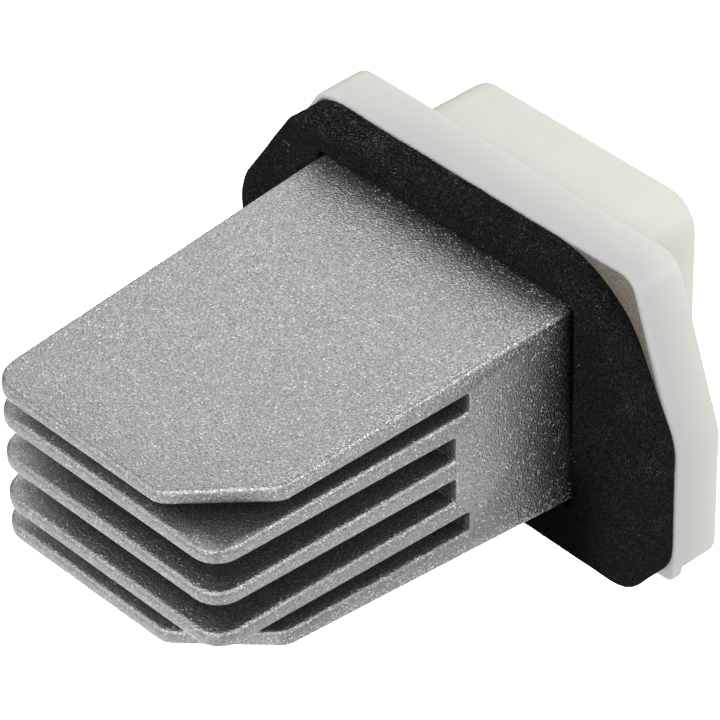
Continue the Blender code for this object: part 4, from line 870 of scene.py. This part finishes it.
class RESISTOR_OT_gasket(bpy.types.Operator):
    """Cut the foam gasket, lay its bonding film and let dust settle on the foam"""

    bl_idname = "resistor.gasket"
    bl_label = "Foam gasket"

    def execute(self, context):
        sizes = context.scene.resistor_gasket
        self.settle_dust(self.foam_ring(sizes), sizes)
        self.film_sheet(sizes)
        return {"FINISHED"}

    def film_sheet(self, sizes):
        """The bonding film, pressed flat on the flange and seen only where the foam is cut back."""
        film = bonding_film(sizes)
        data = joined_facets("adhesive_film")
        low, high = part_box("adhesive_film")
        shoulder = 0.010  # the shoulder is all that lies right of this and above it
        for vert in data.verts:
            vert.co.y = FLANGE_LOW.y - (FILM_GAP if vert.co.y > (low.y + high.y) / 2 else FILM_FRONT)
            if vert.co.x > shoulder and vert.co.z > shoulder:
                vert.co.z += sizes.film_reach
        settle(smooth(from_bmesh("bonding_film", data, film)), "film", "adhesive_film")

    def foam_ring(self, sizes):
        """A ring of foam between the hole for the casting and its own outline, with soft cut edges."""
        tight, wide, shoulder, hole = 0.0052, 0.0095, 0.0151, 0.001  # radii of the corners
        outer = rounded_outline([
            (FOAM_HIGH.x, FOAM_LOW.z, tight), (FOAM_HIGH.x, -0.0010, wide), (0.0226, FOAM_HIGH.z, shoulder),
            (-0.0241, FOAM_HIGH.z, tight), (FOAM_LOW.x, 0.0031, wide), (FOAM_LOW.x, FOAM_LOW.z, tight),
        ], 14)
        half, height = SINK_HIGH.x + sizes.hole_gap, SINK_HIGH.z + sizes.hole_gap
        inner = rounded_outline([(half, -height, hole), (half, height, hole), (-half, height, hole),
                                 (-half, -height, hole)], 5)
        rays, apart = 240, 0.002  # even rays from the middle, and the least angle between two of all
        angles = sorted({round(math.atan2(point.y, point.x), 4) for point in outer + inner}
                        | {round(-math.pi + 2 * math.pi * step / rays, 4) for step in range(rays)})
        angles = [angle for number, angle in enumerate(angles) if number == 0 or angle - angles[number - 1] > apart]
        thick = FLANGE_LOW.y - FOAM_GAP - FOAM_LOW.y
        data = bmesh.new()
        rings = []
        for angle in angles:
            ray = Vector((math.cos(angle), math.sin(angle)))
            start, end = reach(inner, angle), reach(outer, angle)
            ring = []
            for across, deep in self.section(end - start, thick, sizes.edge_round):
                flat = ray * (start + across)
                ring.append(data.verts.new((flat.x, FOAM_LOW.y + deep, flat.y)))
            rings.append(ring)
        for first, second in zip(rings, rings[1:] + rings[:1]):
            for index in range(len(first)):
                after = (index + 1) % len(first)
                data.faces.new((first[index], first[after], second[after], second[index]))
        data.normal_update()
        shifts = []
        for vert in data.verts:
            soft = noise.noise(vert.co * 170.0) + 0.6 * noise.noise(vert.co * 520.0)
            soft += 0.35 * noise.noise(vert.co * 1500.0)
            shifts.append(vert.normal * (soft * sizes.waviness))
        for vert, shift in zip(data.verts, shifts):
            vert.co += shift
        foam = from_bmesh("foam_ring", data, black_foam(sizes))
        settle(smooth(foam, 60), "foam", "foam_gasket")
        return foam

    def section(self, width, thick, edge):
        """Points (across, deep) round a rounded rectangle, from the inner front corner."""
        edge = min(edge, width / 3, thick / 3)
        wide, deep = width - 2 * edge, thick - 2 * edge
        points = []
        out = -1  # the way out of the corner, as a complex number that turns by a right angle each time
        for centre, side, steps in ((complex(edge, edge), wide, 16), (complex(width - edge, edge), deep, 6),
                                    (complex(width - edge, thick - edge), wide, 4),
                                    (complex(edge, thick - edge), deep, 4)):
            for turn in (math.radians(22.5 * step) for step in range(5)):
                points.append(centre + edge * (out * math.cos(turn) + out * 1j * math.sin(turn)))
            points += [centre + edge * out * 1j - out * side * step / steps for step in range(1, steps)]
            out *= 1j
        return [(point.real, point.imag) for point in points]

    def settle_dust(self, foam, sizes):
        """Specks and short fibres on the front and the edge of the foam, in drifts."""
        dust = Growth("foam_dust", {"specks per area": float(sizes.specks), "speck size": sizes.speck_size,
                                    "seed": 11})
        given = dust.given
        facing = dust.coordinates("GeometryNodeInputNormal")
        place = dust.add("GeometryNodeInputPosition")
        drift = dust.add("ShaderNodeTexNoise", {"Vector": place, "Scale": 210.0, "Detail": 3.0})
        height = dust.coordinates()[2]
        exposed = facing[1].below(-0.3).at_least(facing[2].above(0.5))
        thick = dust.remap(drift, 0.50, 0.72) * dust.remap(height, -0.012, 0.017, 0.15, 1.0) * exposed
        density = given["specks per area"] * thick

        def scattered(density, seed):
            return dust.add("GeometryNodeDistributePointsOnFaces",
                            {"Mesh": given["Geometry"], "Density": density, "Seed": seed},
                            distribute_method="RANDOM")

        def placed(points, shape, turn, low, high, seed):
            scale = dust.add("FunctionNodeRandomValue", {0: low, 1: high, "Seed": seed}, data_type="FLOAT_VECTOR")
            return dust.add("GeometryNodeInstanceOnPoints",
                            {"Points": points, "Instance": shape, "Rotation": turn, "Scale": scale})

        points = scattered(density, given["seed"])
        speck = dust.add("GeometryNodeMeshIcoSphere", {"Radius": given["speck size"] / 2, "Subdivisions": 1})
        specks = placed(points, speck, points.other("Rotation"), (0.25, 0.25, 0.15), (1.0, 0.8, 0.35), 3)
        hair_share, any_turn = 0.035, 6.28
        hairs = scattered(density * hair_share, 23)
        bow = dust.add("GeometryNodeCurveArc", {"Resolution": 7, "Radius": given["speck size"] * 6,
                                                "Sweep Angle": 1.9}, mode="RADIUS")
        thread = dust.swept(bow, 5, given["speck size"] * 0.09)
        spin = dust.add("FunctionNodeRotateRotation", {
            0: hairs.other("Rotation"), 1: dust.vector(0.0, 0.0, dust.random(0.0, any_turn, 5)),
        }, rotation_space="LOCAL")
        threads = placed(hairs, thread, spin, (0.3, 0.3, 1.0), (1.0, 1.0, 1.0), 9)
        settle(dust.grow("foam_dust", dust.joined(specks, threads), dust_finish(sizes), foam.data.copy()), "foam")


class RESISTOR_OT_flange(bpy.types.Operator):
    """Give the white flange housing its moulded nylon finish"""

    bl_idname = "resistor.flange"
    bl_label = "Flange housing"

    def execute(self, context):
        sizes = context.scene.resistor_moulding

        def where(nylon):
            front = nylon.remap(nylon.axis("Y"), FLANGE_LOW.y + sizes.edge_depth, FLANGE_LOW.y)
            return front * nylon.remap(nylon.axis("X"), -0.026, -0.008, 0.40, 1.0)

        nylon = moulded_nylon("white_nylon", sizes.flange, times(sizes.flange, 0.96), sizes, (0.35, 1.0, 1.0),
                              sizes.flange_edge, where)
        refined("flange_housing", "_refined", nylon, "white_nylon", sizes.soft_edge)
        return {"FINISHED"}


class RESISTOR_OT_cover(bpy.types.Operator):
    """Give the connector cover its natural nylon finish, with a painted lighter tone behind the flange and low on its
    right side
    """

    bl_idname = "resistor.cover"
    bl_label = "Connector cover"

    def execute(self, context):
        sizes = context.scene.resistor_moulding
        warm = (sizes.cover[0], sizes.cover[1] * 0.985, sizes.cover[2] * 0.90)

        # Painted light: a lighter tone close behind the flange and low on the right side, offsetting the shade that
        # falls there
        def where(nylon):
            behind = FLANGE_LOW.y + sizes.edge_depth
            front = nylon.remap(nylon.axis("Y"), behind + sizes.edge_depth / 2, behind)
            side = nylon.remap(nylon.axis("X"), 0.0145, 0.0165) * nylon.remap(nylon.axis("Z"), 0.0125, 0.0020)
            return front.at_least(side)

        nylon = moulded_nylon("natural_nylon", sizes.cover, warm, sizes, (1.0, 0.25, 1.0), sizes.cover_edge, where)
        refined("connector_cover", "_refined", nylon, "cream_nylon", sizes.soft_edge)
        return {"FINISHED"}


class RESISTOR_OT_blades(bpy.types.Operator):
    """Stamp the three blades of the connector with coined edges"""

    bl_idname = "resistor.blades"
    bl_label = "Connector blades"

    def execute(self, context):
        bevel = context.scene.resistor_fastener.blade_bevel
        tin = tinned_metal("tinned_brass", (0.74, 0.71, 0.62), (0.70, 0.52, 0.26))
        for node in ("power_terminal_left", "signal_terminal", "power_terminal_right"):
            refined(node, "_stamped", tin, "blade_metal", bevel, flat=1.0, corner=30.0, sharp=35.0)
        return {"FINISHED"}


def pan_screw(sizes, seat, end):
    """A pan-head screw along Y: domed head, cross recess, and a thread round the shank."""
    screw = Growth("pan_screw", {**as_inputs(sizes, "blade_bevel"), "seat": seat, "end": end})
    given = screw.given
    length, shank, pitch = given["seat"] - given["end"], given["shank"], given["pitch"]
    radius = given["head"] / 2
    ball = screw.add("GeometryNodeMeshUVSphere", {"Segments": 40, "Rings": 24, "Radius": radius})
    x, y, z = screw.coordinates()
    dome = (z / radius * 2.2).at_most(1.0).at_least(0.0) * given["head height"]
    pan = screw.add("GeometryNodeSetPosition", {"Geometry": ball, "Position": screw.vector(x, y, dome)})
    bar = screw.vector(given["recess length"], given["recess width"], given["recess depth"] * 2)
    arm = screw.add("GeometryNodeMeshCube", {"Size": bar})
    top = screw.vector(0.0, 0.0, given["head height"])
    head = screw.less(pan, [screw.moved(arm, place=top, turn=(0.0, 0.0, turn)) for turn in (0.0, math.pi / 2)])
    core = screw.add("GeometryNodeMeshCone", {
        "Vertices": 32, "Side Segments": 1, "Radius Top": shank * 0.42, "Radius Bottom": shank * 0.30,
        "Depth": length}, fill_type="NGON")
    core = screw.moved(core, place=screw.vector(0.0, 0.0, -length))
    helix = screw.add("GeometryNodeCurveSpiral", {
        "Resolution": 24, "Rotations": length / pitch - 1.6, "Start Radius": shank * 0.40,
        "End Radius": shank * 0.42, "Height": length - pitch * 1.6})
    thread = screw.moved(screw.swept(helix, 4, shank * 0.085), place=screw.vector(0.0, 0.0, -length + pitch * 0.6))
    return screw, screw.joined(head, core, thread)


class RESISTOR_OT_screws(bpy.types.Operator):
    """Turn the three pan-head screws with their cross recesses and threads"""

    bl_idname = "resistor.screws"
    bl_label = "Screws"

    def execute(self, context):
        sizes = context.scene.resistor_fastener
        zinc = zinc_steel()
        for node in ("transistor_screw", "housing_screw_left", "housing_screw_right"):
            low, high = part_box(node)
            seat = high.y - sizes.head_height
            screw, shape = pan_screw(sizes, seat, low.y)
            made = screw.grow(node + "_turned", shape, zinc)
            middle = (low + high) / 2
            made.data.transform(Matrix.Translation((middle.x, seat, middle.z)) @ Matrix.Rotation(-math.pi / 2, 4, "X"))
            settle(smooth(made, 38), "screw_steel", node)
        return {"FINISHED"}


class RESISTOR_OT_circuit(bpy.types.Operator):
    """Give the board, the transistor and the small components their finishes"""

    bl_idname = "resistor.circuit"
    bl_label = "Circuit"

    def execute(self, context):
        dress("circuit_board", board_laminate())
        lead = tinned_metal("plated_copper", (0.70, 0.68, 0.65), (0.62, 0.40, 0.28))
        for node in ("transistor_tab", "transistor_lead_left", "transistor_lead_middle", "transistor_lead_right"):
            dress(node, lead)
        epoxy = moulded_epoxy()
        for node in ("transistor_case", "amplifier_chip", "surge_diode"):
            dress(node, epoxy)
        dress("insulating_pad", silicone_pad())
        dress("capacitor_can", can_sleeve(*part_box("capacitor_can")))
        for body, nodes in (
            ((0.014, 0.014, 0.017), ("gate_resistor", "feedback_resistor", "input_resistor", "divider_resistor")),
            ((0.32, 0.21, 0.12), ("filter_capacitor", "supply_capacitor")),
        ):
            for node in nodes:
                dress(node, chip_body(node + "_body", body, *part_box(node)))
        return {"FINISHED"}


class RESISTOR_OT_stage(bpy.types.Operator):
    """Lay the pale floor, hang the soft lamps and set up the camera"""

    bl_idname = "resistor.stage"
    bl_label = "Stage"

    def execute(self, context):
        sizes = context.scene.resistor_stage
        data = bmesh.new()
        bmesh.ops.create_grid(data, x_segments=4, y_segments=4, size=sizes.floor_side / 2,
                              matrix=Matrix.Translation((0.0, 0.0, -sizes.drop)))
        mesh = bpy.data.meshes.new("floor")
        data.to_mesh(mesh)
        data.free()
        mesh.materials.append(pale_floor(sizes.floor).material)
        floor = bpy.data.objects.new("floor", mesh)
        context.scene.collection.objects.link(floor)

        world = bpy.data.worlds.new("room")
        world.use_nodes = True
        room = Recipe(world.node_tree)
        background = world.node_tree.nodes["Background"]
        room.feed(background.inputs["Color"], (1.0, 1.0, 1.0))
        room.feed(background.inputs["Strength"], sizes.sky)
        context.scene.world = world

        part, behind = (0.0, 0.0, 0.0), (-0.37, 0.34, -sizes.drop)
        self.lamp("key_lamp", (-0.52, 0.48, 0.58), part, 0.90, sizes.key)
        self.lamp("fill_lamp", (0.42, -0.66, 0.62), part, 1.10, sizes.fill)
        self.lamp("front_lamp", (-0.55, -0.66, 0.36), part, 0.90, sizes.front)
        self.lamp("rim_lamp", (0.74, 0.56, 0.44), part, 0.70, sizes.rim)
        self.lamp("floor_lamp", (-0.38, 0.95, 0.05), behind, 0.30, sizes.backdrop, 60)

        camera = bpy.data.objects.new("camera", bpy.data.cameras.new("camera"))
        camera.location = sizes.place
        camera.rotation_euler = sizes.turn
        camera.data.sensor_width = 36.0
        camera.data.lens = sizes.lens
        camera.data.clip_start = 0.02
        camera.data.clip_end = 20.0
        context.scene.collection.objects.link(camera)
        context.scene.camera = camera
        context.scene.view_settings.view_transform = "Standard"
        return {"FINISHED"}

    def lamp(self, name, place, target, side, power, spread=180):
        """A square soft lamp that faces its target, its light spread over an angle in degrees."""
        lamp = bpy.data.objects.new(name, bpy.data.lights.new(name, "AREA"))
        lamp.data.size = side
        lamp.data.energy = power
        lamp.data.spread = math.radians(spread)
        lamp.location = place
        lamp.rotation_euler = (Vector(target) - Vector(place)).to_track_quat("-Z", "Y").to_euler()
        bpy.context.scene.collection.objects.link(lamp)


STEPS = (RESISTOR_OT_heat_sink, RESISTOR_OT_gasket, RESISTOR_OT_flange, RESISTOR_OT_cover, RESISTOR_OT_blades,
         RESISTOR_OT_screws, RESISTOR_OT_circuit, RESISTOR_OT_stage)
GROUPS = {"resistor_casting": CastingSizes, "resistor_gasket": GasketSizes, "resistor_moulding": MouldingSizes,
          "resistor_fastener": FastenerSizes, "resistor_stage": StageSizes}


class RESISTOR_PT_panel(bpy.types.Panel):
    """Lists the pieces and the sizes and colours that they are built from"""

    bl_idname = "RESISTOR_PT_panel"
    bl_label = "Blower Motor Resistor"
    bl_space_type = "VIEW_3D"
    bl_region_type = "UI"
    bl_category = "Resistor"

    def draw(self, context):
        for step in STEPS:
            self.layout.operator(step.bl_idname)
        for name, group in GROUPS.items():
            box = self.layout.box()
            for key in group.__annotations__:
                box.prop(getattr(context.scene, name), key)


def register():
    for made in (*GROUPS.values(), *STEPS, RESISTOR_PT_panel):
        bpy.utils.register_class(made)
    for name, group in GROUPS.items():
        setattr(bpy.types.Scene, name, PointerProperty(type=group))


def unregister():
    for name in GROUPS:
        delattr(bpy.types.Scene, name)
    for made in reversed((*GROUPS.values(), *STEPS, RESISTOR_PT_panel)):
        bpy.utils.unregister_class(made)


def main():
    register()
    bpy.ops.resistor.heat_sink()
    bpy.ops.resistor.gasket()
    bpy.ops.resistor.flange()
    bpy.ops.resistor.cover()
    bpy.ops.resistor.blades()
    bpy.ops.resistor.screws()
    bpy.ops.resistor.circuit()
    bpy.ops.resistor.stage()


if __name__ == "__main__":
    main()
